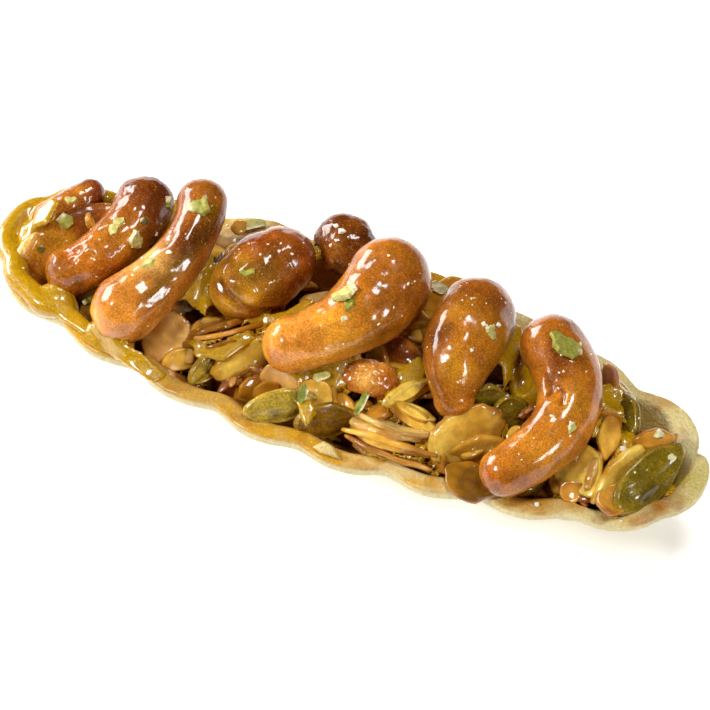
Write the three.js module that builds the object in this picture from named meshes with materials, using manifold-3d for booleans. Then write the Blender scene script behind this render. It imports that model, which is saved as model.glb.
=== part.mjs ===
// Boat-shaped nut cookie: a fluted wafer shell heaped with caramel-coated nuts,
// sliced almonds, pumpkin seeds and sesame.
// Millimetres. +Z is up and the base lies on Z = 0. X runs along the boat, the pumpkin
// seed end at +X, and the nuts lean over the side at -Y.
import * as THREE from 'three';
import { mergeVertices } from 'three/addons/utils/BufferGeometryUtils.js';
import Module from 'manifold-3d';

const wasm = await Module();
wasm.setup();

// Shell
const HALF_LENGTH = 48.7;
const HALF_WIDTH = 15.8;
const TIP_POWER = 1.2;
const SIDE_POWER = 3.2;
const FLUTES = 18;
const FLUTE_BULGE = 1.3;
const FLUTE_ROUNDING = 0.28;
const RIM_HEIGHT = 13;
const LIP_HEIGHT = 1.7;
const LIP_WIDTH = 2.1;
const LIP_CORNER = 0.4;
const BASE_HALF_LENGTH = 36.5;
const BASE_HALF_WIDTH = 6.4;
const WALL_KNEE_HEIGHT = 5.5;
const WALL_KNEE_INSET = 5.6;
const FLOOR_THICKNESS = 1.8;
const WALL_STEP = 1.2;
const SEGMENTS_PER_FLUTE = 8;

// Heap
const GAP = 0.3;
const COARSE_GAP = 0.5;
const HEAP_LOW = 8.5;
const HEAP_RISE = 6;
const SUPPORT_DEPTH = 0.9;
const HEAP_SEGMENTS = 72;
const SIMPLIFY = 0.04;
const SLICE_THICKNESS = 1;
const SEED_THICKNESS = 2.6;
const SESAME = [3, 1.7, 0.9];

// Outline of the rim before the flutes: a superellipse walked by its own length.
const WALK_STEPS = 2880;
const walk = [];
let walkLength = 0;
for (let i = 0; i <= WALK_STEPS; i += 1) {
  const turn = (2 * Math.PI * i) / WALK_STEPS;
  const c = Math.cos(turn);
  const s = Math.sin(turn);
  const x = HALF_LENGTH * Math.sign(c) * Math.abs(c) ** (2 / TIP_POWER);
  const y = HALF_WIDTH * Math.sign(s) * Math.abs(s) ** (2 / SIDE_POWER);
  if (i > 0) walkLength += Math.hypot(x - walk[i - 1].x, y - walk[i - 1].y);
  walk.push({ x, y, length: walkLength });
}

function pointAtShare(share) {
  const wanted = (share - Math.floor(share)) * walkLength;
  let low = 0;
  let high = WALK_STEPS;
  while (high - low > 1) {
    const middle = (low + high) >> 1;
    if (walk[middle].length <= wanted) low = middle;
    else high = middle;
  }
  const a = walk[low];
  const b = walk[high];
  const k = (wanted - a.length) / (b.length - a.length);
  return new THREE.Vector2(a.x + k * (b.x - a.x), a.y + k * (b.y - a.y));
}

// A point of the rim outline, its outward direction, and how far the flute bulges there.
function rimAt(share) {
  const point = pointAtShare(share);
  const run = pointAtShare(share + 0.002).sub(pointAtShare(share - 0.002));
  const outward = new THREE.Vector2(run.y, -run.x).normalize();
  const wave = Math.cos(Math.PI * FLUTES * share);
  const soft = Math.hypot(wave, FLUTE_ROUNDING) - FLUTE_ROUNDING;
  const peak = Math.hypot(1, FLUTE_ROUNDING) - FLUTE_ROUNDING;
  return { point, outward, bulge: (FLUTE_BULGE * soft) / peak };
}

// One ring of the shell: the outline drawn in by endInset along the boat and by sideInset
// across it, at height z, with a share of the flutes.
function ring(endInset, sideInset, z, fluteShare, grow = 0) {
  return (share) => {
    const rim = rimAt(share);
    const out = rim.bulge * fluteShare + grow;
    const x = rim.point.x * (1 - endInset / HALF_LENGTH) + rim.outward.x * out;
    const y = rim.point.y * (1 - sideInset / HALF_WIDTH) + rim.outward.y * out;
    return [x, y, typeof z === 'function' ? z(x, y) : z];
  };
}

function centre(z) {
  return () => [0, 0, typeof z === 'function' ? z(0, 0) : z];
}

// A closed body from rings, first and last on the axis, listed from the bottom centre
// round the outside to the top centre.
function ringed(rings, segments) {
  const profile = rings.map((_, i) => new THREE.Vector2(i === 0 || i === rings.length - 1 ? 0 : 1, i));
  const geometry = new THREE.LatheGeometry(profile, segments);
  const position = geometry.attributes.position;
  for (let i = 0; i < position.count; i += 1) {
    const step = Math.floor(i / rings.length) % segments;
    position.setXYZ(i, ...rings[i % rings.length](step / segments));
  }
  return toSolid(geometry);
}

// Closed solids and meshes
function toSolid(geometry) {
  const bare = geometry.clone();
  bare.deleteAttribute('normal');
  bare.deleteAttribute('uv');
  const merged = mergeVertices(bare, 1e-4);
  const corners = merged.index.array;
  const kept = [];
  for (let i = 0; i < corners.length; i += 3) {
    const [a, b, c] = [corners[i], corners[i + 1], corners[i + 2]];
    if (a !== b && b !== c && c !== a) kept.push(a, b, c);
  }
  const vertProperties = merged.attributes.position.array;
  return new wasm.Manifold(new wasm.Mesh({ numProp: 3, vertProperties, triVerts: new Uint32Array(kept) }));
}

function largest(solid) {
  return solid.decompose().sort((a, b) => b.volume() - a.volume())[0];
}

function toMesh(name, solid, color, roughness) {
  const data = solid.getMesh();
  const geometry = new THREE.BufferGeometry();
  geometry.setAttribute('position', new THREE.BufferAttribute(data.vertProperties.slice(), 3));
  geometry.setIndex(new THREE.BufferAttribute(data.triVerts.slice(), 1));
  geometry.computeVertexNormals();
  const mesh = new THREE.Mesh(geometry, new THREE.MeshStandardMaterial({ color, roughness, metalness: 0 }));
  mesh.name = name;
  return mesh;
}

// Wafer shell
function shell(grow) {
  const wallTop = RIM_HEIGHT - LIP_HEIGHT;
  const endBase = HALF_LENGTH - BASE_HALF_LENGTH;
  const sideBase = HALF_WIDTH - BASE_HALF_WIDTH;
  const endRatio = endBase / sideBase;
  const kneeInside = WALL_KNEE_HEIGHT + WALL_STEP;
  const top = RIM_HEIGHT + grow;
  return ringed(
    [
      centre(-grow),
      ring(endBase, sideBase, -grow, 0.3, grow),
      ring(WALL_KNEE_INSET * endRatio, WALL_KNEE_INSET, WALL_KNEE_HEIGHT, 0.6, grow),
      ring(0, 0, wallTop, 1, grow),
      ring(0, 0, top - LIP_CORNER, 1, grow),
      ring(LIP_CORNER, LIP_CORNER, top, 1, grow),
      ring(LIP_WIDTH - LIP_CORNER, LIP_WIDTH - LIP_CORNER, top, 0.9, -grow),
      ring(LIP_WIDTH, LIP_WIDTH, top - LIP_CORNER, 0.85, -grow),
      ring((WALL_KNEE_INSET + WALL_STEP) * endRatio, WALL_KNEE_INSET + WALL_STEP, kneeInside, 0.5, -grow),
      ring(endBase + WALL_STEP, sideBase + WALL_STEP, FLOOR_THICKNESS + grow, 0.25, -grow),
      centre(FLOOR_THICKNESS + grow),
    ],
    FLUTES * SEGMENTS_PER_FLUTE,
  );
}

// Nuts: a ball pulled along a bent spine through three points, with a radius at each.
function along(list, t) {
  const [a, m, b] = list;
  return (1 - t) * (1 - 2 * t) * a + 4 * t * (1 - t) * m + t * (2 * t - 1) * b;
}

function spinePoint(spine, t) {
  return new THREE.Vector3(...[0, 1, 2].map((axis) => along(spine.map((point) => point[axis]), t)));
}

function spineFrame(spine, t) {
  const forward = spinePoint(spine, t + 0.01).sub(spinePoint(spine, t - 0.01)).normalize();
  const side = forward.clone().cross(new THREE.Vector3(0, 0, 1)).normalize();
  return { forward, side, up: side.clone().cross(forward) };
}

const END_SHARE = 0.27;

function nutSolid(nut, grow = 0) {
  const { spine, radii, lumps = 0.03, flat = 1, lean = 0 } = nut;
  const leanTurn = THREE.MathUtils.degToRad(lean);
  const around = nut.around ?? 14;
  const geometry = new THREE.SphereGeometry(1, around, around);
  const position = geometry.attributes.position;
  for (let i = 0; i < position.count; i += 1) {
    const down = Math.acos(THREE.MathUtils.clamp(position.getY(i), -1, 1)) / Math.PI;
    const turn = Math.atan2(-position.getZ(i), position.getX(i));
    let t = (down - END_SHARE) / (1 - 2 * END_SHARE);
    let past = 0;
    let taper = 1;
    if (down < END_SHARE || down > 1 - END_SHARE) {
      const bend = (Math.min(down, 1 - down) / END_SHARE) * (Math.PI / 2);
      t = down < 0.5 ? 0 : 1;
      past = Math.cos(bend) * (down < 0.5 ? -1 : 1);
      taper = Math.sin(bend);
    }
    const { forward, side, up } = spineFrame(spine, t);
    const radius = along(radii, t);
    const lump = 1 + lumps * Math.sin(2 * turn + 5 * down + radius) * taper;
    const reach = (radius * lump + grow) * taper;
    const rolled = turn - leanTurn;
    const across = Math.cos(rolled) * reach;
    const thick = Math.sin(rolled) * (reach * flat + grow * (1 - flat) * taper);
    const point = spinePoint(spine, t).addScaledVector(forward, past * (radius * Math.max(flat, 0.5) + grow));
    point.addScaledVector(side, across * Math.cos(leanTurn) - thick * Math.sin(leanTurn));
    point.addScaledVector(up, across * Math.sin(leanTurn) + thick * Math.cos(leanTurn));
    position.setXYZ(i, point.x, point.y, point.z);
  }
  return toSolid(geometry);
}

// Green chips lie on a nut at a share of its spine, turned from its top, with a length,
// width and thickness.
function chipSolid(nut, [t, turnDegrees, length, width]) {
  const { forward, side, up } = spineFrame(nut.spine, t);
  const turn = THREE.MathUtils.degToRad(turnDegrees);
  const normal = up.clone().multiplyScalar(Math.cos(turn)).addScaledVector(side, Math.sin(turn));
  const reach = along(nut.radii, t);
  const centrePoint = spinePoint(nut.spine, t).addScaledVector(normal, reach);
  const geometry = new THREE.SphereGeometry(1, 6, 3);
  const across = normal.clone().cross(forward);
  geometry.applyMatrix4(
    new THREE.Matrix4()
      .makeBasis(forward, across, normal)
      .multiply(new THREE.Matrix4().makeScale(length / 2, width / 2, 0.8)),
  );
  geometry.translate(centrePoint.x, centrePoint.y, centrePoint.z);
  return toSolid(geometry);
}

const CASHEW = '#a5581f';
const DARK_NUT = '#7c3f1b';
const NUTS = [
  {
    name: 'cashew_left_tall',
    spine: [[-28, -8, 16.5], [-24, 0.5, 20.5], [-24.5, 7.5, 22.5]],
    radii: [4.6, 3.4, 3.3],
    color: '#b8682b',
    chips: [[0.89, 0, 3.4, 2.8], [0.23, -24, 2.6, 2]],
  },
  {
    name: 'cashew_left_low',
    spine: [[-38, -4.5, 14.5], [-34, 0.5, 16.5], [-33, 7.6, 17.5]],
    radii: [3.2, 3.7, 3.8],
    color: '#8a461c',
    chips: [[0.62, 53, 2.6, 2], [0.6, 0, 3, 1.6]],
  },
  {
    name: 'nut_half_left',
    spine: [[-43.8, -4.8, 12], [-39.8, 0.8, 13.6], [-34.5, 4.5, 14]],
    radii: [3, 4.4, 3.6],
    flat: 0.27,
    lean: -40,
    color: '#a06018',
    chips: [],
  },
  {
    name: 'almond_far_left',
    spine: [[-44.5, 2.5, 14.5], [-42.5, 5, 15], [-41, 7.5, 15.5]],
    radii: [2.1, 2.4, 2],
    around: 12,
    color: '#86471a',
    chips: [[0.51, 15, 2, 1.6]],
  },
  {
    name: 'almond_dark',
    spine: [[-15.5, 1.2, 17.5], [-14, 3.8, 18], [-12.5, 6.2, 18.5]],
    radii: [4.7, 5, 4.4],
    color: DARK_NUT,
    chips: [[0.08, 10, 2.4, 1.6]],
  },
  {
    name: 'almond_back',
    spine: [[-5, 12, 17.5], [-6, 12.3, 17.8], [-7, 12.6, 17.8]],
    radii: [3.6, 3.9, 3.7],
    around: 12,
    color: '#6f3a1a',
    chips: [],
  },
  {
    name: 'cashew_middle',
    spine: [[-5.5, -5.5, 18.5], [0.5, 0, 20.5], [2.5, 7, 21.5]],
    radii: [3.8, 4.7, 5.5],
    color: CASHEW,
    chips: [[0.59, -21, 4, 2.2]],
  },
  {
    name: 'almond_right',
    spine: [[14.5, 8, 19.5], [15, 1.5, 19.5], [16.5, -3.5, 17]],
    radii: [5, 4.7, 2.8],
    color: '#8f5420',
    chips: [[0.26, -50, 2.2, 1.5]],
  },
  {
    name: 'cashew_right',
    spine: [[25.5, 7.5, 19.5], [31, -1, 18.5], [27, -11, 16.5]],
    radii: [4.5, 4.1, 3.2],
    color: '#94501c',
    chips: [[0.08, -6, 4, 3.2]],
  },
  {
    name: 'nut_piece_front',
    spine: [[2, -4, 14], [4, -3.5, 14.5], [6, -3, 14]],
    radii: [1.9, 2.1, 1.9],
    around: 10,
    color: '#b5702a',
    chips: [],
  },
  {
    name: 'nut_piece_under',
    spine: [[4, 2.5, 13.5], [6, 2.5, 13], [8, 2, 12.5]],
    radii: [2.2, 2.4, 2.2],
    around: 10,
    color: CASHEW,
    chips: [],
  },
];

// Heap under the nuts: highest along the middle and the far side, low at both ends.
// It swells under each loose piece so that the piece rests on it.
function heapHeight(x, y) {
  const acrossShare = THREE.MathUtils.smoothstep(y, -10, 1);
  const endShare = 1 - THREE.MathUtils.smoothstep(Math.abs(x - 2), 26, 42);
  let height = HEAP_LOW + HEAP_RISE * acrossShare * endShare;
  height -= 1.5 * THREE.MathUtils.smoothstep(y, 6, 14);
  for (const [from, to, width] of [...SLICES, ...PUMPKIN_SEEDS]) {
    const runX = to[0] - from[0];
    const runY = to[1] - from[1];
    const share = ((x - from[0]) * runX + (y - from[1]) * runY) / (runX * runX + runY * runY);
    const near = THREE.MathUtils.clamp(share, 0, 1);
    const off = Math.hypot(x - from[0] - near * runX, y - from[1] - near * runY);
    const support = from[2] + near * (to[2] - from[2]) - SUPPORT_DEPTH;
    const swell = 1 - THREE.MathUtils.smoothstep(off, 0.2 * width, 0.7 * width);
    height = Math.max(height, THREE.MathUtils.lerp(height, support, swell));
  }
  return height;
}

function heapCore() {
  const endFloor = HALF_LENGTH - BASE_HALF_LENGTH + WALL_STEP;
  const sideFloor = HALF_WIDTH - BASE_HALF_WIDTH + WALL_STEP;
  const wallShare = (HEAP_LOW - FLOOR_THICKNESS) / (RIM_HEIGHT - FLOOR_THICKNESS);
  const endInset = THREE.MathUtils.lerp(endFloor, LIP_WIDTH, wallShare) + GAP;
  const sideInset = THREE.MathUtils.lerp(sideFloor, LIP_WIDTH, wallShare) + GAP;
  const shrink = (share) => [
    HALF_LENGTH - share * (HALF_LENGTH - endInset),
    HALF_WIDTH - share * (HALF_WIDTH - sideInset),
  ];
  const rings = [
    centre(FLOOR_THICKNESS + GAP),
    ring(endFloor + GAP, sideFloor + GAP, FLOOR_THICKNESS + GAP, 0.25, -GAP),
    ring(endInset, sideInset, HEAP_LOW, 0.5, -GAP),
  ];
  for (const share of [0.94, 0.82, 0.68, 0.54, 0.4, 0.26, 0.12]) {
    rings.push(ring(...shrink(share), heapHeight, 0));
  }
  rings.push(centre(heapHeight));
  return ringed(rings, HEAP_SEGMENTS);
}

// Loose pieces lie from one end to the other, rolled in degrees about that line.
function lay(geometry, from, to, rollDegrees) {
  const start = new THREE.Vector3(...from);
  const end = new THREE.Vector3(...to);
  const run = end.clone().sub(start);
  const forward = run.clone().normalize();
  const flatNormal = new THREE.Vector3(0, 0, 1).addScaledVector(forward, -forward.z).normalize();
  const roll = THREE.MathUtils.degToRad(rollDegrees);
  const normal = flatNormal.clone().multiplyScalar(Math.cos(roll));
  normal.addScaledVector(forward.clone().cross(flatNormal), Math.sin(roll));
  const across = normal.clone().cross(forward);
  const middle = start.add(end).multiplyScalar(0.5);
  geometry.applyMatrix4(new THREE.Matrix4().makeBasis(forward, across, normal));
  geometry.translate(middle.x, middle.y, middle.z);
  return toSolid(geometry);
}

function sliceSolid([from, to, width, roll]) {
  const length = new THREE.Vector3(...from).distanceTo(new THREE.Vector3(...to));
  const outline = new THREE.Shape();
  const sides = 8;
  for (let i = 0; i < sides; i += 1) {
    const turn = (2 * Math.PI * i) / sides;
    const x = (Math.cos(turn) * length) / 2;
    const y = (Math.sin(turn) * width * (1 - 0.22 * Math.cos(turn))) / 2;
    if (i === 0) outline.moveTo(x, y);
    else outline.lineTo(x, y);
  }
  outline.closePath();
  const plate = new THREE.ExtrudeGeometry(outline, { depth: SLICE_THICKNESS, bevelEnabled: false });
  plate.translate(0, 0, -SLICE_THICKNESS / 2);
  return lay(plate, from, to, roll);
}

function seedSolid([from, to, width, roll]) {
  const length = new THREE.Vector3(...from).distanceTo(new THREE.Vector3(...to));
  const geometry = new THREE.SphereGeometry(1, 7, 5);
  geometry.rotateZ(Math.PI / 2);
  geometry.scale(length / 2, width / 2, SEED_THICKNESS / 2);
  return lay(geometry, from, to, roll);
}

// Almond slices as [one end, other end, width, roll]
const SLICES = [
  [[-26, -6, 13], [-18.5, -8.5, 11], 7.5, 41],
  [[-22, -11, 10], [-17, -6, 10.5], 6, 80],
  [[-20, -6.5, 13.5], [-13, 0, 15], 7, -48],
  [[-20, -7.5, 12], [-13, -2, 13.5], 7, -52],
  [[-15.5, -6, 12], [-9, 0, 13.5], 7, -46],
  [[-14.5, -10.5, 12], [-8, -2, 14.5], 6.5, 62],
  [[-13.5, -10, 9.5], [-8.5, -5, 10.5], 6, 80],
  [[-10, -9.5, 9], [-5.5, -4.5, 11], 6, 52],
  [[-11, -11, 8.5], [-9, -6, 9.5], 5, 35],
  [[-9, -7, 12.5], [-2, -8, 13], 5, 64],
  [[-3.5, -8, 13.5], [3, -9, 13.5], 6, 54],
  [[8, -7, 14], [13, -0.5, 15.5], 6, 80],
  [[8, -5, 14], [17, -7, 13.5], 7, 80],
  [[4.5, -9.5, 13.5], [16, -8, 13.5], 8, -42],
  [[5, -10.5, 12.3], [16.5, -10, 12.3], 8, -48],
  [[6, -11.5, 11], [14.5, -10.5, 11.2], 7, -50],
  [[14, -8.5, 12.5], [19.5, -12, 11.5], 7, 73],
  [[16, -10, 13.5], [23, -1.5, 14.5], 8, 58],
  [[17, -10.5, 12], [25, -3.5, 13], 8, 75],
  [[18.5, -12, 14], [26, -13, 14.5], 6.5, 37],
  [[32, -3, 14.5], [38, -7.5, 13], 7.5, 35],
  [[37.5, -7.5, 14], [36.5, -2, 15.5], 4, 70],
  [[37.5, -3, 15], [36, 2, 17.5], 5.5, 27],
  [[38.5, -9.5, 14], [41.5, 0, 16.5], 6.5, 60],
  [[38, 0, 15.5], [45, 4, 16], 6.5, 55],
  [[41, -10.5, 14], [40, -6, 14.5], 4, 17],
  [[6.5, 9, 13.5], [11.5, 15.8, 15], 6.5, 45],
  [[4.5, 5.5, 14], [8, 8.5, 14.5], 6, 80],
];

// Pumpkin seeds, laid the same way
const PUMPKIN_SEEDS = [
  [[-17.5, -12, 10], [-14, -4.5, 12.5], 5, 60],
  [[-8, -15, 14], [0, -8.5, 14.5], 5, 60],
  [[-2.5, -14.5, 13.5], [5.5, -9, 13.5], 6.5, 65],
  [[41.5, -9, 14], [45.5, 3.5, 15], 6.5, 46],
  [[34, 7.5, 14], [39.5, 2, 15.5], 5.5, 45],
  [[18, -2, 15], [22, 1, 15], 5, 75],
  [[-20, 8, 15], [-19, -0.5, 13.5], 6, 26],
  [[21.5, -2.5, 13.5], [24.5, 1.5, 14.5], 5, 62],
  [[27, -11.5, 11.5], [31.5, -4.5, 12], 5, 60],
  [[-35, -8, 11], [-30.5, -3.5, 11.5], 4, 30],
];

// Sesame lies on the heap in patches: [centre x and y, spread, count]
const SESAME_PATCHES = [
  [[-8, -8.5], [4.5, 2], 5],
  [[34, -5.5], [3.5, 1.5], 5],
  [[22.5, 1.5], [2, 1.5], 3],
];

function sesameSolids() {
  const seeds = [];
  for (const [[middleX, middleY], [spreadX, spreadY], count] of SESAME_PATCHES) {
    for (let i = 0; i < count; i += 1) {
      const turn = i * 2.4;
      const reach = Math.sqrt((i + 0.5) / count);
      const geometry = new THREE.SphereGeometry(0.5, 5, 3);
      geometry.scale(...SESAME);
      geometry.rotateX(0.4 * Math.sin(3 * i));
      geometry.rotateZ(turn * 1.7);
      const x = middleX + spreadX * reach * Math.cos(turn);
      const y = middleY + spreadY * reach * Math.sin(turn);
      geometry.translate(x, y, heapHeight(x, y) + SESAME[2] / 4);
      seeds.push(toSolid(geometry));
    }
  }
  return seeds;
}

// Assembly: each nut stays clear of the shell and of the nuts before it, and the heap
// stays clear of them all.
const cookie = new THREE.Group();
cookie.name = 'boat_shaped_nut_cookie';
cookie.add(toMesh('wafer_shell', shell(0), '#dcbb6c', 0.6));

let keepClear = shell(GAP);
for (const nut of NUTS) {
  let body = largest(nutSolid(nut).subtract(keepClear));
  for (const chip of nut.chips) body = body.add(chipSolid(nut, chip).subtract(keepClear));
  keepClear = keepClear.add(nutSolid({ ...nut, around: 10 }, COARSE_GAP));
  for (const chip of nut.chips) keepClear = keepClear.add(chipSolid(nut, chip));
  cookie.add(toMesh(nut.name, largest(body), nut.color, 0.25));
}

let heap = heapCore();
for (const slice of SLICES) heap = heap.add(sliceSolid(slice));
for (const seed of PUMPKIN_SEEDS) heap = heap.add(seedSolid(seed));
for (const seed of sesameSolids()) heap = heap.add(seed);
cookie.add(toMesh('nut_filling', largest(heap.subtract(keepClear).simplify(SIMPLIFY)), '#a8741f', 0.35));

export default cookie;
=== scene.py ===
"""Boat-shaped nut cookie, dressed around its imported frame.

Shapes are worked out in millimetres in the row frame and turned to metres when a mesh is made.
"""

import math

import bpy
import numpy as np
import openvdb
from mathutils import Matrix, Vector
from mathutils.bvhtree import BVHTree


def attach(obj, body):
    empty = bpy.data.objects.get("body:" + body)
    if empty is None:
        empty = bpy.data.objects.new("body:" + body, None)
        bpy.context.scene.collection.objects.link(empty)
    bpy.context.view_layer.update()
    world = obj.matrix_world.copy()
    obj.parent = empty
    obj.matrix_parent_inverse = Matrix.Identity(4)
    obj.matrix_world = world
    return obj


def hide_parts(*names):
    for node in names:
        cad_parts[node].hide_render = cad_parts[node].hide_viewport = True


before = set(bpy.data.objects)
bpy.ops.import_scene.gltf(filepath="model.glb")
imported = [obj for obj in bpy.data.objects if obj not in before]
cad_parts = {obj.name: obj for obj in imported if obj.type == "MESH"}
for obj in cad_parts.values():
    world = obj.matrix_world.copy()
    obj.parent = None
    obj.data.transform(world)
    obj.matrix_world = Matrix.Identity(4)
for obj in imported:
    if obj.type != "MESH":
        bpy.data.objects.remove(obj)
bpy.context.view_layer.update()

METRE = 0.001
TAU = 2 * math.pi

# Shell, as in the solids
HALF_LENGTH = 48.7
HALF_WIDTH = 15.8
TIP_POWER = 1.2
SIDE_POWER = 3.2
FLUTES = 18
FLUTE_BULGE = 1.3
FLUTE_ROUNDING = 0.28
RIM_HEIGHT = 13.0
LIP_HEIGHT = 1.7
LIP_WIDTH = 2.1
BASE_HALF_LENGTH = 36.5
BASE_HALF_WIDTH = 6.4
WALL_KNEE_HEIGHT = 5.5
WALL_KNEE_INSET = 5.6
FLOOR_THICKNESS = 1.8
WALL_STEP = 1.2

# Heap, as in the solids
GAP = 0.3
HEAP_LOW = 8.5
HEAP_RISE = 6.0
SUPPORT_DEPTH = 0.9
SLICE_THICKNESS = 1.0
SEED_THICKNESS = 2.6
SESAME = (3.0, 1.7, 0.9)

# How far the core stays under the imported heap, and how far its rough top sinks on average
CORE_DROP = 1.1
CORE_SINK = 1.2

# Photograph: size, and the camera that matches its view
PHOTO_SIZE = 710
VIEW_AZIMUTH = math.radians(25.2)
VIEW_ELEVATION = math.radians(53.0)
CAMERA_DISTANCE = 1000.0
PIXELS_PER_MM = 7.75
AIM_PIXEL = (349.0, 353.3)
SENSOR = 36.0

# Points round the outline, the shell and the core
OUTLINE_STEPS = 5760
SHELL_COLUMNS = 960
CORE_COLUMNS = 420


# ---------------------------------------------------------------- numbers
def linear(red, green, blue):
    """An sRGB colour of 0 to 255 as linear light."""
    scaled = np.array((red, green, blue), float) / 255
    low = scaled / 12.92
    high = ((scaled + 0.055) / 1.055) ** 2.4
    return np.where(scaled <= 0.04045, low, high)


def smoothstep(value, low, high):
    share = np.clip((value - low) / (high - low), 0, 1)
    return share * share * (3 - 2 * share)


def unit(vectors):
    vectors = np.asarray(vectors, float)
    return vectors / np.maximum(np.linalg.norm(vectors, axis=-1, keepdims=True), 1e-12)


def bell(away, reach):
    """1 at a place, and nearly 0 from twice the reach on."""
    return np.exp(-((np.maximum(away, 0) / reach) ** 2))


def painted(tint, colour, share):
    """The colour of each vertex, moved towards another one by its share."""
    return tint + share[:, None] * (colour - tint)


def evenly(colour, count):
    """One sRGB colour for that many vertices."""
    return np.tile(linear(*colour), (count, 1))


def lattice(cell, seed):
    """A fixed draw between -1 and 1 for each whole-numbered cell."""
    cell = cell.astype(np.int64).astype(np.uint32)
    mixed = cell[..., 0] * np.uint32(374761393) + cell[..., 1] * np.uint32(668265263)
    mixed = mixed + cell[..., 2] * np.uint32(2246822519)
    mixed = mixed + np.uint32((seed * 3266489917) % 2**32)
    for shift in (15, 13):
        mixed = (mixed ^ (mixed >> np.uint32(shift))) * np.uint32(2246822519)
    return (mixed ^ (mixed >> np.uint32(16))).astype(float) / 2**31 - 1


def noise(points, size, seed=0, octaves=1):
    """Smooth noise, about -1 to 1, with features of that size in millimetres."""
    total = np.zeros(np.shape(points)[:-1])
    gain = 1.0
    for octave in range(octaves):
        scaled = np.asarray(points, float) / size * 2**octave
        cell = np.floor(scaled)
        part = scaled - cell
        part = part * part * (3 - 2 * part)
        value = 0
        for corner in range(8):
            step = np.array([corner & 1, corner >> 1 & 1, corner >> 2 & 1])
            weight = np.prod(np.where(step, part, 1 - part), axis=-1)
            value = value + weight * lattice(cell + step, seed + 17 * octave)
        total = total + gain * value
        gain *= 0.5
    return total


# ---------------------------------------------------------------- meshes
class Mesh:
    """Vertices in millimetres, faces, and named colours or numbers for each vertex."""

    def __init__(self, points, faces, **layers):
        self.points = np.asarray(points, float)
        self.faces = [list(face) for face in faces]
        self.layers = {name: np.asarray(value, float) for name, value in layers.items()}


def joined(meshes):
    offset = 0
    faces = []
    for mesh in meshes:
        faces += [[corner + offset for corner in face] for face in mesh.faces]
        offset += len(mesh.points)
    names = meshes[0].layers
    layers = {name: np.concatenate([mesh.layers[name] for mesh in meshes]) for name in names}
    return Mesh(np.concatenate([mesh.points for mesh in meshes]), faces, **layers)


def ball_faces(rows, columns):
    """Faces of a closed grid: a pole, rows of points, and a pole."""
    faces = []
    last = 1 + rows * columns
    for column in range(columns):
        after = (column + 1) % columns
        faces.append((0, 1 + after, 1 + column))
        for row in range(rows - 1):
            here = 1 + row * columns
            below = here + columns
            faces.append((here + column, here + after, below + after, below + column))
        foot = 1 + (rows - 1) * columns
        faces.append((foot + column, foot + after, last))
    return faces


def ball(rows, columns):
    """Points of a unit ball in the order of ball_faces, with its poles on z."""
    down = (np.arange(rows) + 0.5) / rows * math.pi
    turn = np.arange(columns) * TAU / columns
    x, y = np.outer(np.sin(down), np.cos(turn)), np.outer(np.sin(down), np.sin(turn))
    z = np.outer(np.cos(down), np.ones(columns))
    grid = np.stack([x, y, z], -1).reshape(-1, 3)
    return np.concatenate([[[0, 0, 1]], grid, [[0, 0, -1]]])


def subdivided(corners, parts):
    """A closed outline with each of its sides cut into that many parts."""
    following = np.roll(corners, -1, 0)
    cuts = [corners + step / parts * (following - corners) for step in range(parts)]
    return np.stack(cuts, 1).reshape(len(corners) * parts, -1)


def build(name, mesh, material, smooth=True):
    data = bpy.data.meshes.new(name)
    data.from_pydata((mesh.points * METRE).tolist(), [], mesh.faces)
    data.polygons.foreach_set("use_smooth", [smooth] * len(data.polygons))
    for layer, value in mesh.layers.items():
        if value.ndim == 2:
            attribute = data.color_attributes.new(layer, "FLOAT_COLOR", "POINT")
            colours = np.concatenate([value, np.ones((len(value), 1))], axis=1)
            attribute.data.foreach_set("color", colours.ravel())
        else:
            attribute = data.attributes.new(layer, "FLOAT", "POINT")
            attribute.data.foreach_set("value", value)
    data.materials.append(material)
    data.validate()
    made = bpy.data.objects.new(name, data)
    bpy.context.scene.collection.objects.link(made)
    return made


# ---------------------------------------------------------------- materials
def new_material(name, **sockets):
    """A material whose surface is one Principled shader, with fixed values on its sockets."""
    material = bpy.data.materials.new(name)
    material.use_nodes = True
    shader = material.node_tree.nodes["Principled BSDF"]
    for socket, value in sockets.items():
        shader.inputs[socket.replace("_", " ")].default_value = value
    return material, material.node_tree, shader


def node(tree, kind, inputs=None, **settings):
    made = tree.nodes.new(kind)
    for name, value in settings.items():
        setattr(made, name, value)
    for name, value in (inputs or {}).items():
        if isinstance(value, bpy.types.NodeSocket):
            tree.links.new(value, made.inputs[name])
        else:
            made.inputs[name].default_value = value
    return made


def grain(tree, scale, detail=2.0, roughness=0.5):
    place = node(tree, "ShaderNodeTexCoord")
    inputs = {
        "Vector": place.outputs["Object"],
        "Scale": scale,
        "Detail": detail,
        "Roughness": roughness,
    }
    return node(tree, "ShaderNodeTexNoise", inputs).outputs["Fac"]


def ranged(tree, value, low, high, to_low, to_high):
    inputs = {"Value": value, "From Min": low, "From Max": high, "To Min": to_low, "To Max": to_high}
    return node(tree, "ShaderNodeMapRange", inputs).outputs["Result"]


def blended(tree, mode, share, first, second):
    made = node(tree, "ShaderNodeMix", data_type="RGBA", blend_type=mode)
    for index, value in ((0, share), (6, first), (7, second)):
        if isinstance(value, bpy.types.NodeSocket):
            tree.links.new(value, made.inputs[index])
        else:
            made.inputs[index].default_value = value
    return made.outputs[2]


def brightened(tree, colour, factor):
    """The colour times a grey factor that varies over the surface."""
    grey = node(tree, "ShaderNodeCombineColor", {"Red": factor, "Green": factor, "Blue": factor})
    return blended(tree, "MULTIPLY", 1.0, colour, grey.outputs["Color"])


def layer_colour(tree, name):
    return node(tree, "ShaderNodeAttribute", attribute_name=name).outputs["Color"]


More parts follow.
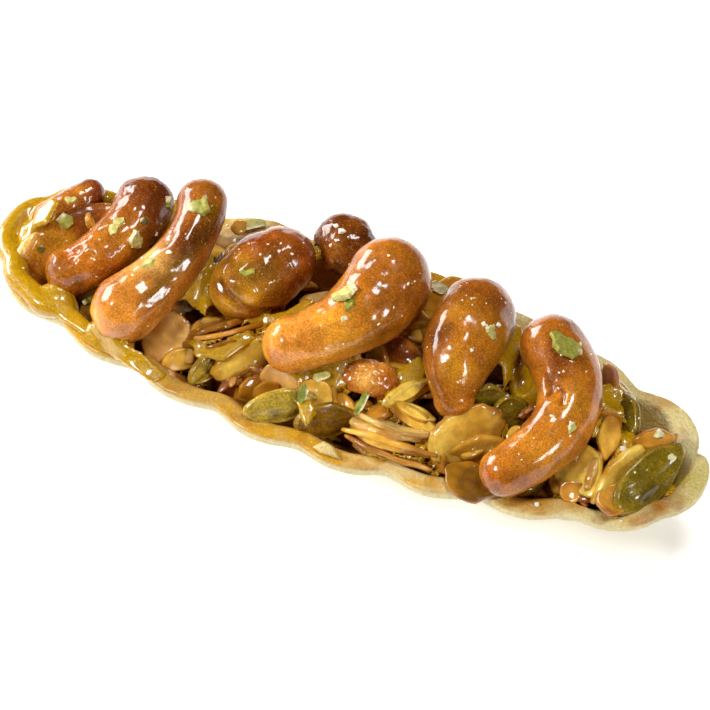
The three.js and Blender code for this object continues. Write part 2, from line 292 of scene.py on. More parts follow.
def layer_value(tree, name):
    return node(tree, "ShaderNodeAttribute", attribute_name=name).outputs["Fac"]


def bumped(tree, shader, height, distance):
    bump = node(tree, "ShaderNodeBump", {"Height": height, "Distance": distance})
    tree.links.new(bump.outputs["Normal"], shader.inputs["Normal"])


def rgba(red, green, blue):
    return (*linear(red, green, blue), 1.0)


def candied(name, fleck, coarse_scale, fine_scale, roughness):
    """Nut or seed flesh under clear caramel: the tint layer, mottled and flecked."""
    material, tree, shader = new_material(
        name,
        Roughness=roughness,
        IOR=1.4,
        Specular_IOR_Level=0.1,
        Coat_Weight=1.0,
        Coat_Roughness=0.14,
        Coat_IOR=1.5,
        Subsurface_Weight=0.1,
        Subsurface_Radius=(1.0, 0.4, 0.1),
        Subsurface_Scale=0.0012,
    )
    coarse = grain(tree, coarse_scale, 3.0, 0.6)
    fine = grain(tree, fine_scale, 1.0, 0.5)
    base = brightened(tree, layer_colour(tree, "tint"), ranged(tree, coarse, 0.3, 0.7, 0.75, 1.28))
    base = brightened(tree, base, ranged(tree, fine, 0.32, 0.68, 0.72, 1.28))
    flecks = ranged(tree, grain(tree, fine_scale * 1.3, 0.0), 0.7, 0.8, 0.0, 0.5)
    base = blended(tree, "MIX", flecks, base, rgba(*fleck))
    tree.links.new(base, shader.inputs["Base Color"])
    dimples = grain(tree, 1100.0, 2.0, 0.5)
    height = node(tree, "ShaderNodeMath", {0: coarse, 1: dimples}, operation="ADD").outputs[0]
    bumped(tree, shader, height, 0.00016)
    return material


def wafer_material():
    material, tree, shader = new_material(
        "wafer",
        IOR=1.45,
        Subsurface_Weight=0.15,
        Subsurface_Radius=(1.0, 0.7, 0.35),
        Subsurface_Scale=0.0015,
    )
    stain_and_light = layer_value(tree, "stain_and_light")
    sand = grain(tree, 2600.0, 2.0, 0.6)
    cloud = grain(tree, 260.0, 3.0, 0.6)
    base = brightened(tree, layer_colour(tree, "tint"), ranged(tree, sand, 0.3, 0.7, 0.86, 1.12))
    base = brightened(tree, base, ranged(tree, cloud, 0.3, 0.7, 0.9, 1.08))
    # White dots in the base colour: partly pale sugar grains and partly painted glints.
    sugar_and_glints = ranged(tree, grain(tree, 4200.0, 0.0), 0.72, 0.8, 0.0, 0.3)
    base = blended(tree, "MIX", sugar_and_glints, base, rgba(255, 250, 225))
    tree.links.new(base, shader.inputs["Base Color"])
    tree.links.new(ranged(tree, stain_and_light, 0.2, 0.9, 0.55, 0.14), shader.inputs["Roughness"])
    uneven = ranged(tree, stain_and_light, 0.3, 0.9, 1.0, 0.15)
    relief = node(tree, "ShaderNodeMath", {0: sand, 1: uneven}, operation="MULTIPLY")
    bumped(tree, shader, relief.outputs[0], 0.00025)
    return material


def slice_material():
    material, tree, shader = new_material(
        "almond_slice",
        Roughness=0.4,
        IOR=1.4,
        Specular_IOR_Level=0.15,
        Coat_Weight=0.8,
        Coat_Roughness=0.08,
        Subsurface_Weight=0.25,
        Subsurface_Radius=(1.0, 0.6, 0.2),
        Subsurface_Scale=0.0015,
    )
    streak = grain(tree, 900.0, 4.0, 0.6)
    cloud = grain(tree, 180.0, 2.0, 0.5)
    base = brightened(tree, layer_colour(tree, "tint"), ranged(tree, streak, 0.3, 0.7, 0.85, 1.25))
    wet = ranged(tree, cloud, 0.5, 0.66, 0.0, 0.4)
    base = blended(tree, "MIX", wet, base, rgba(206, 140, 24))
    tree.links.new(base, shader.inputs["Base Color"])
    bumped(tree, shader, streak, 0.00015)
    return material


def plain_material(name, colour, scale, spread, roughness, **sockets):
    """The tint layer, or one colour, varied by fine noise."""
    material, tree, shader = new_material(name, Roughness=roughness, **sockets)
    if colour is None:
        start = layer_colour(tree, "tint")
    else:
        start = node(tree, "ShaderNodeRGB").outputs[0]
        start.default_value = rgba(*colour)
    mottle = grain(tree, scale, 3.0, 0.6)
    base = brightened(tree, start, ranged(tree, mottle, 0.3, 0.7, 1 - spread, 1 + spread))
    tree.links.new(base, shader.inputs["Base Color"])
    bumped(tree, shader, mottle, 0.0001)
    return material


# ---------------------------------------------------------------- shell
def walked_outline():
    turn = np.linspace(0, TAU, OUTLINE_STEPS + 1)
    cosine, sine = np.cos(turn), np.sin(turn)
    x = HALF_LENGTH * np.sign(cosine) * np.abs(cosine) ** (2 / TIP_POWER)
    y = HALF_WIDTH * np.sign(sine) * np.abs(sine) ** (2 / SIDE_POWER)
    length = np.concatenate([[0], np.cumsum(np.hypot(np.diff(x), np.diff(y)))])
    return x, y, length / length[-1]


OUTLINE_X, OUTLINE_Y, OUTLINE_SHARE = walked_outline()


def outline_point(share):
    share = np.mod(share, 1)
    return np.stack([np.interp(share, OUTLINE_SHARE, along) for along in (OUTLINE_X, OUTLINE_Y)], -1)


def rim_at(share):
    point = outline_point(share)
    run = outline_point(share + 0.002) - outline_point(share - 0.002)
    outward = unit(np.stack([run[..., 1], -run[..., 0]], -1))
    soft = np.hypot(np.cos(math.pi * FLUTES * share), FLUTE_ROUNDING) - FLUTE_ROUNDING
    peak = math.hypot(1, FLUTE_ROUNDING) - FLUTE_ROUNDING
    return point, outward, FLUTE_BULGE * soft / peak


def ring(share, end_inset, side_inset, z, flute_share, grow=0.0):
    """Points round the outline, set in from its ends and sides, with z a height or a function."""
    point, outward, bulge = rim_at(share)
    reach = bulge * flute_share + grow
    x = point[:, 0] * (1 - end_inset / HALF_LENGTH) + outward[:, 0] * reach
    y = point[:, 1] * (1 - side_inset / HALF_WIDTH) + outward[:, 1] * reach
    return np.stack([x, y, z(x, y) if callable(z) else np.full_like(x, z)], -1)


def resampled(profile, counts):
    """Extra points along each leg of a profile, as many as counts says."""
    profile = np.array(profile, float)
    legs = []
    for start, end, count in zip(profile[:-1], profile[1:], counts):
        share = np.arange(count)[:, None] / count
        legs.append(start + share * (end - start))
    return np.concatenate([*legs, profile[-1:]])


def rounded(profile, passes):
    """The profile with its corners softened."""
    for _ in range(passes):
        middle = 0.25 * profile[:-2] + 0.5 * profile[1:-1] + 0.25 * profile[2:]
        profile = np.concatenate([profile[:1], middle, profile[-1:]])
    return profile


# Rows of points along each leg of the wall's section, of which the first four are outside
SECTION_ROWS = (10, 10, 14, 8, 9, 16, 8, 10)
OUTSIDE_ROWS = sum(SECTION_ROWS[:4])


def shell_profile():
    end_base = HALF_LENGTH - BASE_HALF_LENGTH
    side_base = HALF_WIDTH - BASE_HALF_WIDTH
    knee_end = WALL_KNEE_INSET * end_base / side_base
    inner_end = (WALL_KNEE_INSET + WALL_STEP) * end_base / side_base
    # end inset, side inset, height, share of the flutes
    corners = [
        (HALF_LENGTH * 0.98, HALF_WIDTH * 0.98, 0, 0),
        (end_base, side_base, 0, 0.3),
        (knee_end, WALL_KNEE_INSET, WALL_KNEE_HEIGHT, 0.6),
        (0, 0, RIM_HEIGHT - LIP_HEIGHT, 1),
        (0, 0, RIM_HEIGHT, 1),
        (LIP_WIDTH, LIP_WIDTH, RIM_HEIGHT, 0.88),
        (inner_end, WALL_KNEE_INSET + WALL_STEP, WALL_KNEE_HEIGHT + WALL_STEP, 0.5),
        (end_base + WALL_STEP, side_base + WALL_STEP, FLOOR_THICKNESS, 0.25),
        (HALF_LENGTH * 0.98, HALF_WIDTH * 0.98, FLOOR_THICKNESS, 0),
    ]
    return rounded(resampled(corners, SECTION_ROWS), 2)


# A chip out of the rim, and a torn flake of wafer as an outline of pixels and heights
NOTCH = (704, 448)
TORN = [
    (312, 447, 13.1),
    (324, 441, 13.9),
    (333, 446, 13.9),
    (341, 460, 13.1),
    (330, 456, 13.2),
    (320, 453, 13.1),
]

# Stains on the rim, and one pale patch of painted light where the rim lies in shade: place in the
# photograph, reach in millimetres, strength and colour
RIM_STAINS_AND_LIGHT = [
    ((515, 495), 2.2, 0.9, (190, 134, 30)),
    ((545, 502), 2.2, 0.9, (186, 130, 28)),
    ((572, 504), 2.0, 0.8, (190, 134, 34)),
    ((410, 482), 2.2, 0.7, (204, 156, 50)),
    ((440, 487), 1.9, 0.7, (196, 142, 40)),
    ((628, 518), 1.6, 0.5, (196, 146, 50)),
    ((655, 504), 1.7, 0.9, (156, 98, 24)),
    ((673, 491), 1.7, 0.9, (156, 98, 24)),
    ((685, 470), 1.4, 0.8, (166, 112, 36)),
    ((646, 523), 1.4, 0.8, (178, 112, 20)),
    ((662, 517), 1.2, 0.8, (180, 116, 20)),
    ((697, 478), 2.6, 0.6, (198, 182, 74)),
    ((668, 400), 1.6, 0.7, (176, 122, 40)),
    ((650, 394), 1.2, 0.6, (184, 130, 50)),
    ((245, 221), 3.4, 0.8, (240, 220, 166)),
    # A pale patch of painted light, lifting the rim where it lies in shade
    ((690, 440), 2.2, 0.6, (236, 220, 164)),
]


def shell_mesh():
    share = np.arange(SHELL_COLUMNS) / SHELL_COLUMNS
    rows = [ring(share, *row) for row in shell_profile()]
    points = np.concatenate([[[0, 0, 0]], *rows, [[0, 0, FLOOR_THICKNESS]]])
    outward = rim_at(share)[1]
    high = smoothstep(points[:, 2], 8, RIM_HEIGHT)
    points[:, 2] += high * (0.16 * noise(points, 7.0, 1) + 0.07 * noise(points, 1.6, 2))
    push = 0.1 * noise(points, 3.0, 3) + 0.05 * noise(points, 0.9, 4)
    outward_all = np.concatenate([[[0, 0]], np.tile(outward, (len(rows), 1)), [[0, 0]]])
    points[:, :2] += outward_all * (push * high)[:, None]
    inside = np.repeat(np.arange(len(rows)) > OUTSIDE_ROWS, SHELL_COLUMNS)
    inside = np.concatenate([[False], inside, [True]])
    tint, stain_and_light = shell_looks(points, inside)
    notch = spot(*NOTCH, RIM_HEIGHT)[:2]
    chipped = np.hypot(*(points[:, :2] - notch).T) + 0.3 * noise(points, 0.7, 14, 2)
    depth = bell(chipped, 0.9) * high
    points[:, 0] -= depth
    points[:, 2] -= 0.9 * depth
    whole = Mesh(points, ball_faces(len(rows), SHELL_COLUMNS), tint=tint, stain_and_light=stain_and_light)
    flake = film(TORN, 0.5)
    count = len(flake.points)
    flake.layers = {"tint": evenly((216, 186, 116), count), "stain_and_light": np.full(count, 0.1)}
    return joined([whole, flake])


def shell_looks(points, inside):
    """Baked colours: pale outside, caramel on the left rim, sandy at the right end."""
    x, _, z = points.T
    sand = linear(216, 196, 128)
    gold = linear(198, 146, 36)
    amber = linear(176, 112, 28)
    dun = linear(184, 156, 84)
    brown = linear(150, 92, 28)
    patch = noise(points, 4.0, 11, 3)
    tint = evenly((216, 200, 148), len(points))
    top = smoothstep(z, RIM_HEIGHT - 0.9, RIM_HEIGHT - 0.1)
    right = smoothstep(x, 22, 36)
    tint = painted(tint, sand, top * right * 0.8)
    left = 1 - smoothstep(x + 5 * patch, 2, 20)
    near_middle = smoothstep(patch, -0.1, 0.5) * (1 - right) * 0.8
    golden = top * np.clip(left * 0.85 + near_middle, 0, 1)
    tint = painted(tint, gold, golden)
    wall = inside * (1 - smoothstep(z + 0.3 * patch, RIM_HEIGHT - 1.1, RIM_HEIGHT - 0.2))
    tint = painted(tint, amber + right[:, None] * (dun - amber), wall)
    spots = top * smoothstep(noise(points, 2.2, 12, 2), 0.45, 0.8) * (0.35 + 0.15 * right)
    tint = painted(tint, brown, spots)
    stain_and_light = np.clip(golden + wall * (1 - 0.5 * right) + spots, 0, 1)
    rag = noise(points, 1.8, 13, 2)
    for pixel, reach, strength, tone in RIM_STAINS_AND_LIGHT:
        away = np.linalg.norm(points - spot(*pixel, RIM_HEIGHT), axis=1) + 0.5 * reach * rag
        held = strength * bell(away, reach) * np.maximum(top, inside)
        tint = painted(tint, linear(*tone), held)
        stain_and_light = np.maximum(stain_and_light, held)
    return tint, stain_and_light


# ---------------------------------------------------------------- camera
def camera_axes():
    sine, cosine = math.sin(VIEW_AZIMUTH), math.cos(VIEW_AZIMUTH)
    level = math.cos(VIEW_ELEVATION)
    back = np.array([sine * level, -cosine * level, math.sin(VIEW_ELEVATION)])
    right = np.array([cosine, sine, 0.0])
    return right, np.cross(back, right), back


def camera_point():
    right, up, back = camera_axes()
    centre = PHOTO_SIZE / 2
    slide = right * (centre - AIM_PIXEL[0]) / PIXELS_PER_MM
    slide = slide + up * (AIM_PIXEL[1] - centre) / PIXELS_PER_MM
    return np.array([0.0, 0.0, RIM_HEIGHT]) + slide + back * CAMERA_DISTANCE


CAMERA_PLACE = camera_point()


def add_camera():
    data = bpy.data.cameras.new("camera")
    data.lens = CAMERA_DISTANCE * PIXELS_PER_MM / PHOTO_SIZE * SENSOR
    data.sensor_width = SENSOR
    data.clip_start = 0.05
    data.clip_end = 20
    camera = bpy.data.objects.new("camera", data)
    camera.rotation_mode = "QUATERNION"
    camera.rotation_quaternion = Vector(-camera_axes()[2]).to_track_quat("-Z", "Y")
    camera.location = Vector(CAMERA_PLACE * METRE)
    bpy.context.scene.collection.objects.link(camera)
    bpy.context.scene.camera = camera


def pixel_ray(pixel):
    """The direction from the camera through a pixel of the photograph."""
    right, up, back = camera_axes()
    centre = PHOTO_SIZE / 2
    focal = CAMERA_DISTANCE * PIXELS_PER_MM
    return unit(right * (pixel[0] - centre) + up * (centre - pixel[1]) - back * focal)


def spot(x, y, height):
    """The point at that height, in millimetres, that the photograph shows at a pixel."""
    ray = pixel_ray((x, y))
    return CAMERA_PLACE + ray * (height - CAMERA_PLACE[2]) / ray[2]


# ---------------------------------------------------------------- nuts
# Share of a nut's rows that each of its round ends takes up
END_SHARE = 0.27

# Rows and points round a nut, for the large ones and the small ones
LARGE_GRID = (130, 150)
SMALL_GRID = (84, 96)


def through(three, t):
    """The value at t of the parabola through three values at 0, a half and 1."""
    first, middle, last = (np.asarray(value, float) for value in three)
    t = np.asarray(t, float)
    if first.ndim:
        t = t[..., None]
    return (1 - t) * (1 - 2 * t) * first + 4 * t * (1 - t) * middle + t * (2 * t - 1) * last


def spine_frame(spine, t):
    t = np.asarray(t, float)
    forward = unit(through(spine, t + 0.01) - through(spine, t - 0.01))
    side = unit(np.cross(forward, (0.0, 0.0, 1.0)))
    return forward, side, np.cross(side, forward)


def nut_shape(nut, rows, columns):
    """Points of a nut, and the share of its spine at which each lies."""
    down = np.concatenate([[0], np.repeat((np.arange(rows) + 0.5) / rows, columns), [1]])
    turn = np.concatenate([[0], np.tile(np.arange(columns) * TAU / columns, rows), [0]])
    end = np.minimum(down, 1 - down) < END_SHARE
    bend = np.minimum(down, 1 - down) / END_SHARE * math.pi / 2
    t = np.where(end, np.where(down < 0.5, 0, 1), (down - END_SHARE) / (1 - 2 * END_SHARE))
    past = np.where(end, np.cos(bend) * np.where(down < 0.5, -1, 1), 0)
    taper = np.where(end, np.sin(bend), 1)
    forward, side, up = spine_frame(nut["spine"], t)
    radius = through(nut["radii"], t)
    flat = nut.get("flat", 1)
    lean = math.radians(nut.get("lean", 0))
    lump = 1 + 0.03 * np.sin(2 * turn + 5 * down + radius) * taper
    reach = radius * lump * taper
    across = np.cos(turn - lean) * reach
    thick = np.sin(turn - lean) * (reach * flat)
    points = through(nut["spine"], t) + forward * (past * (radius * max(flat, 0.5)))[:, None]
    points += side * (across * math.cos(lean) - thick * math.sin(lean))[:, None]
    points += up * (across * math.sin(lean) + thick * math.cos(lean))[:, None]
    return points, t + past * radius / 20


def vertex_normals(points, rows, columns):
    """Outward normals of a ball grid."""
    grid = points[1:-1].reshape(rows, columns, 3)
    around = np.roll(grid, -1, 1) - np.roll(grid, 1, 1)
    poles = np.repeat(points[[0, -1]][:, None], columns, 1)
    padded = np.concatenate([poles[:1], grid, poles[1:]])
    along = padded[2:] - padded[:-2]
    normals = unit(np.cross(around, along)).reshape(-1, 3)
    centre = points.mean(0)
    if np.sum(normals * (points[1:-1] - centre)) < 0:
        normals = -normals
    ends = unit(points[[0, -1]] - centre)
    return np.concatenate([ends[:1], normals, ends[1:]])


TONES = {
    "tan": (216, 136, 46),
    "cream": (246, 198, 110),
    "gold": (200, 138, 30),
    "amber": (178, 104, 22),
    "olive": (112, 76, 4),
    "chestnut": (152, 82, 18),
    "roast": (104, 46, 4),
    "red": (146, 58, 14),
}

# Places are pixels of the photograph, and radii and depths are in millimetres.
# A crease is a line of places, a radius, a depth, a tone and its strength; a mark is a place,
# a radius, a tone and its strength; a dent is a place, a radius and a depth.
# Colours run from the first end of a spine to the last; the lighter near, lower ends are partly
# painted light.
NUTS = {
    "cashew_left_tall": dict(
        spine=[(-28, -8, 16.5), (-24, 0.5, 20.5), (-24.5, 7.5, 22.5)],
        radii=(4.6, 3.4, 3.3),
        slot="cashew_light",
        colours=("tan", "chestnut", "chestnut"),
        creases=[
            # The olive down this groove is partly its own colour and partly painted shade in the
            # groove.
            ([(215, 210), (203, 238), (186, 258), (170, 276), (152, 300)], 1.2, 0.25, "olive", 0.8),
        ],
        relief=0.12,
        marks=[
            ((112, 318), 5, "tan", 0.5),
            # The cream patch at (150, 262) is partly pale glaze and partly a painted highlight.
            ((150, 262), 2.6, "cream", 0.55),
            ((142, 292), 3, "tan", 0.5),
            ((178, 300), 3, "amber", 0.6),
            ((205, 190), 3, "amber", 0.5),
            ((198, 235), 3, "roast", 0.4),
            ((214, 215), 2, "roast", 0.4),
        ],
        dents=[((150, 278), 1.6, 0.4), ((128, 300), 1.4, 0.25), ((168, 238), 1.2, 0.3)],
    ),
    "cashew_left_low": dict(
        spine=[(-38, -4.5, 14.5), (-34, 0.5, 16.5), (-33, 7.6, 17.5)],
        radii=(3.2, 3.7, 3.8),
        slot="cashew_dark",
        colours=("amber", "chestnut", "chestnut"),
        relief=0.2,
        marks=[
            ((56, 268), 2.5, "roast", 0.7),
            ((75, 285), 3, "tan", 0.45),
            ((70, 250), 2, "red", 0.7),
            ((100, 262), 3, "amber", 0.5),
            ((128, 240), 2.6, "gold", 0.5),
            ((160, 212), 3.2, "roast", 0.8),
            ((146, 190), 3, "roast", 0.45),
        ],
        dents=[
            ((66, 252), 0.9, 0.6),
            ((77, 249), 0.8, 0.5),
            ((72, 259), 0.7, 0.4),
            ((88, 258), 0.8, 0.4),
            ((103, 236), 1.2, 0.3),
            ((132, 218), 1.4, 0.3),
        ],
    ),
    "nut_half_left": dict(
        spine=[(-43.8, -4.8, 12), (-39.8, 0.8, 13.6), (-34.5, 4.5, 14)],
        radii=(3, 4.4, 3.6),
        flat=0.27,
        lean=-40,
        slot="nut_half",
        colours=("amber", "chestnut", "chestnut"),
        creases=[
            ([(22, 252), (34, 234), (48, 220), (62, 211), (80, 203), (112, 199)],
             0.65, -0.4, "cream", 0.75),
        ],
        relief=0.14,
        marks=[
            ((32, 268), 2.4, "roast", 0.6),
            ((74, 203), 1.6, "cream", 0.5),
            ((98, 199), 1.6, "cream", 0.5),
            ((78, 232), 3, "roast", 0.5),
            ((50, 250), 3.4, "gold", 0.6),
        ],
        dents=[((52, 240), 2.2, 0.5)],
    ),
    "almond_far_left": dict(
        spine=[(-44.5, 2.5, 14.5), (-42.5, 5, 15), (-41, 7.5, 15.5)],
        radii=(2.1, 2.4, 2),
        slot="almond_skin",
        colours=("amber", "chestnut", "roast"),
        relief=0.16,
        marks=[((80, 190), 1.6, "tan", 0.5), ((98, 192), 1.6, "red", 0.6)],
        dents=[((84, 200), 1.0, 0.3)],
    ),
    "almond_dark": dict(
        spine=[(-15.5, 1.2, 17.5), (-14, 3.8, 18), (-12.5, 6.2, 18.5)],
        radii=(4.7, 5, 4.4),
        slot="almond_skin",
        colours=("gold", "chestnut", "chestnut"),
        creases=[
            ([(219, 282), (230, 299), (250, 310), (275, 309), (297, 298), (309, 283)],
             0.7, 0.45, "roast", 0.7),
            ([(236, 312), (256, 319), (280, 316)], 0.8, -0.2, "gold", 0.5),
        ],
        relief=0.18,
        marks=[
            ((228, 285), 3, "gold", 0.5),
            ((250, 280), 4, "olive", 0.6),
            ((262, 306), 2.4, "roast", 0.6),
            ((262, 240), 3, "red", 0.55),
            ((300, 250), 3, "red", 0.6),
            ((290, 290), 3, "roast", 0.6),
            ((216, 288), 1.6, "red", 0.6),
            ((252, 318), 2.4, "red", 0.6),
            ((238, 250), 2.4, "red", 0.4),
            ((274, 266), 3.4, "olive", 0.5),
        ],
        dents=[((240, 300), 1.4, 0.25), ((285, 275), 1.6, 0.25), ((250, 252), 1.2, 0.2)],
    ),
    "almond_back": dict(
        spine=[(-5, 12, 17.5), (-6, 12.3, 17.8), (-7, 12.6, 17.8)],
        radii=(3.6, 3.9, 3.7),
        slot="almond_skin",
        colours=("roast", "chestnut", "roast"),
        relief=0.22,
        marks=[
            ((338, 242), 2.4, "gold", 0.4),
            ((360, 245), 3, "roast", 0.7),
            ((345, 232), 3, "roast", 0.6),
        ],
        dents=[((350, 250), 1.2, 0.3), ((335, 255), 1.0, 0.3)],
    ),
    "cashew_middle": dict(
        spine=[(-5.5, -5.5, 18.5), (0.5, 0, 20.5), (2.5, 7, 21.5)],
        radii=(3.8, 4.7, 5.5),
        slot="cashew_light",
        colours=("tan", "amber", "amber"),
        creases=[([(350, 262), (366, 246), (392, 240), (418, 252)], 1.2, 0.0, "red", 0.3)],
        relief=0.16,
        marks=[
            ((288, 345), 4, "tan", 0.5),
            ((330, 318), 4, "tan", 0.4),
            ((275, 355), 1.6, "red", 0.4),
            ((345, 345), 3, "gold", 0.4),
            ((375, 330), 3, "olive", 0.35),
            ((412, 292), 3, "roast", 0.4),
            ((362, 252), 2.6, "tan", 0.5),
            ((395, 262), 3, "chestnut", 0.5),
        ],
        dents=[
            ((318, 345), 1.6, 0.2),
            ((352, 322), 1.6, 0.25),
            ((398, 290), 1.6, 0.2),
            ((372, 258), 1.4, 0.2),
        ],
    ),
    "almond_right": dict(
        spine=[(14.5, 8, 19.5), (15, 1.5, 19.5), (16.5, -3.5, 17)],
        radii=(5, 4.7, 2.8),
        slot="cashew_dark",
        colours=("chestnut", "amber", "amber"),
        creases=[
            ([(447, 296), (437, 322), (433, 350), (438, 385), (446, 408)], 1.1, -0.1, "roast", 0.6),
        ],
        relief=0.14,
        marks=[
            ((440, 340), 2.4, "roast", 0.7),
            ((444, 390), 2, "roast", 0.5),
            ((470, 290), 3, "roast", 0.5),
            ((472, 312), 3.4, "roast", 0.4),
            ((455, 310), 2.4, "gold", 0.3),
            ((500, 305), 2.4, "roast", 0.6),
            ((500, 340), 3, "gold", 0.6),
            ((465, 375), 3, "gold", 0.5),
            ((490, 372), 3, "olive", 0.3),
            ((460, 405), 2.5, "tan", 0.3),
        ],
        dents=[((448, 330), 1.2, 0.2), ((480, 362), 1.6, 0.2)],
    ),
    "cashew_right": dict(
        spine=[(25.5, 7.5, 19.5), (31, -1, 18.5), (27, -11, 16.5)],
        radii=(4.5, 4.1, 3.2),
        slot="cashew_dark",
        colours=("chestnut", "amber", "amber"),
        creases=[
            ([(545, 378), (551, 386), (548, 393)], 0.45, 0.3, "roast", 0.9),
            ([(558, 386), (564, 394), (562, 403)], 0.45, 0.3, "roast", 0.9),
            ([(600, 350), (606, 372), (604, 400), (592, 425)], 1.2, 0.0, "red", 0.45),
        ],
        relief=0.13,
        marks=[
            ((545, 345), 3, "amber", 0.4),
            ((560, 368), 3, "roast", 0.7),
            ((578, 400), 3, "gold", 0.4),
            ((596, 390), 2, "red", 0.4),
            ((572, 435), 3, "amber", 0.5),
            ((545, 465), 3, "gold", 0.4),
            ((490, 470), 2, "red", 0.45),
        ],
        dents=[
            ((548, 385), 0.9, 0.4),
            ((556, 391), 0.8, 0.45),
            ((562, 398), 0.7, 0.3),
            ((538, 372), 1.0, 0.25),
        ],
    ),
    "nut_piece_front": dict(
        spine=[(1.6, -4, 14), (4, -3.5, 14.5), (6.3, -3, 14)],
        radii=(2.0, 2.3, 2.0),
        slot="cashew_light",
        colours=("tan", "tan", "amber"),
        relief=0.5,
        marks=[
            ((345, 375), 1.8, "red", 0.7),
            ((386, 384), 1.8, "red", 0.6),
            # The cream mark in the middle is a painted highlight.
            ((366, 378), 1.4, "cream", 0.5),
        ],
        dents=[((356, 371), 1.0, 0.5), ((377, 377), 0.8, 0.4)],
    ),
    "nut_piece_under": dict(
        spine=[(4, 2.5, 13.5), (6, 2.5, 13), (8, 2, 12.5)],
        radii=(2.2, 2.4, 2.2),
        slot="cashew_light",
        colours=("tan", "tan", "amber"),
        relief=0.3,
        marks=[((392, 350), 1.5, "roast", 0.6)],
    ),
}


def hit(tree, start, direction):
    """Where a ray meets a surface, and the surface's normal there, or two times None."""
    place, normal, *_ = tree.ray_cast(Vector(start), Vector(direction))
    return (None, None) if place is None else (np.array(place), np.array(normal))


def seen(tree, pixel):
    """The point of a surface, in millimetres, that the photograph shows at a pixel, and its normal."""
    return hit(tree, CAMERA_PLACE, pixel_ray(pixel))


def from_path(points, pixels, tree):
    """Distance of each point from the line that the photograph shows through some pixels."""
    stops = [seen(tree, pixel)[0] for pixel in pixels]
    stops = [stop for stop in stops if stop is not None]
    nearest = np.full(len(points), 1e3)
    for start, end in zip(stops[:-1], stops[1:]):
        run = end - start
        share = np.clip((points - start) @ run / max(run @ run, 1e-9), 0, 1)
        nearest = np.minimum(nearest, np.linalg.norm(points - start - share[:, None] * run, axis=1))
    return nearest


def nut_mesh(nut, seed):
    rows, columns = LARGE_GRID if sum(nut["radii"]) > 10 else SMALL_GRID
    points, t = nut_shape(nut, rows, columns)
    faces = ball_faces(rows, columns)
    tree = BVHTree.FromPolygons(points.tolist(), faces)
    normals = vertex_normals(points, rows, columns)
    relief = nut["relief"]
    lift = relief * noise(points, 3.2, seed, 2) + 0.25 * relief * noise(points, 0.8, seed + 1, 2)
    rag = noise(points, 1.5, seed + 2, 2)
    lines = []
    for pixels, radius, depth, tone, strength in nut.get("creases", ()):
        line = bell(from_path(points, pixels, tree) + 0.35 * radius * rag, radius)
        lift -= depth * line
        lines.append((strength * line, tone))
    rag = noise(points, 1.2, seed + 4)
    for pixel, radius, depth in nut.get("dents", ()):
        centre = seen(tree, pixel)[0]
        if centre is not None:
            away = np.linalg.norm(points - centre, axis=1) + 0.3 * radius * rag
            lift -= depth * bell(np.abs(away), radius)
    # Each nut's colours run along its spine: the lighter near, lower end and darker far, upper end are
    # partly the nut's own roast and partly painted light and shade from the front and left.
    colours = [linear(*TONES[tone]) for tone in nut["colours"]]
    tint = np.clip(through(colours, np.clip(t, 0, 1)), 0.002, 1)
    rag = noise(points, 2.5, seed + 5, 2)
    for pixel, radius, tone, strength in nut["marks"]:
        centre = seen(tree, pixel)[0]
        if centre is not None:
            away = np.linalg.norm(points - centre, axis=1) + 0.5 * radius * rag
            tint = painted(tint, linear(*TONES[tone]), strength * bell(away, radius))
    for line, tone in lines:
        tint = painted(tint, linear(*TONES[tone]), line)
    cloud = noise(points, 4.0, seed + 3, 3)
    darker = np.minimum(cloud, 0)[:, None] * (0.45, 0.6, 0.8)
    lighter = np.maximum(cloud, 0)[:, None] * (0.25, 0.35, 0.2)
    tint = tint * (1 + darker + lighter)
    points = points + normals * (lift - 0.02)[:, None]
    return Mesh(points, faces, tint=np.clip(tint, 0.001, 1))


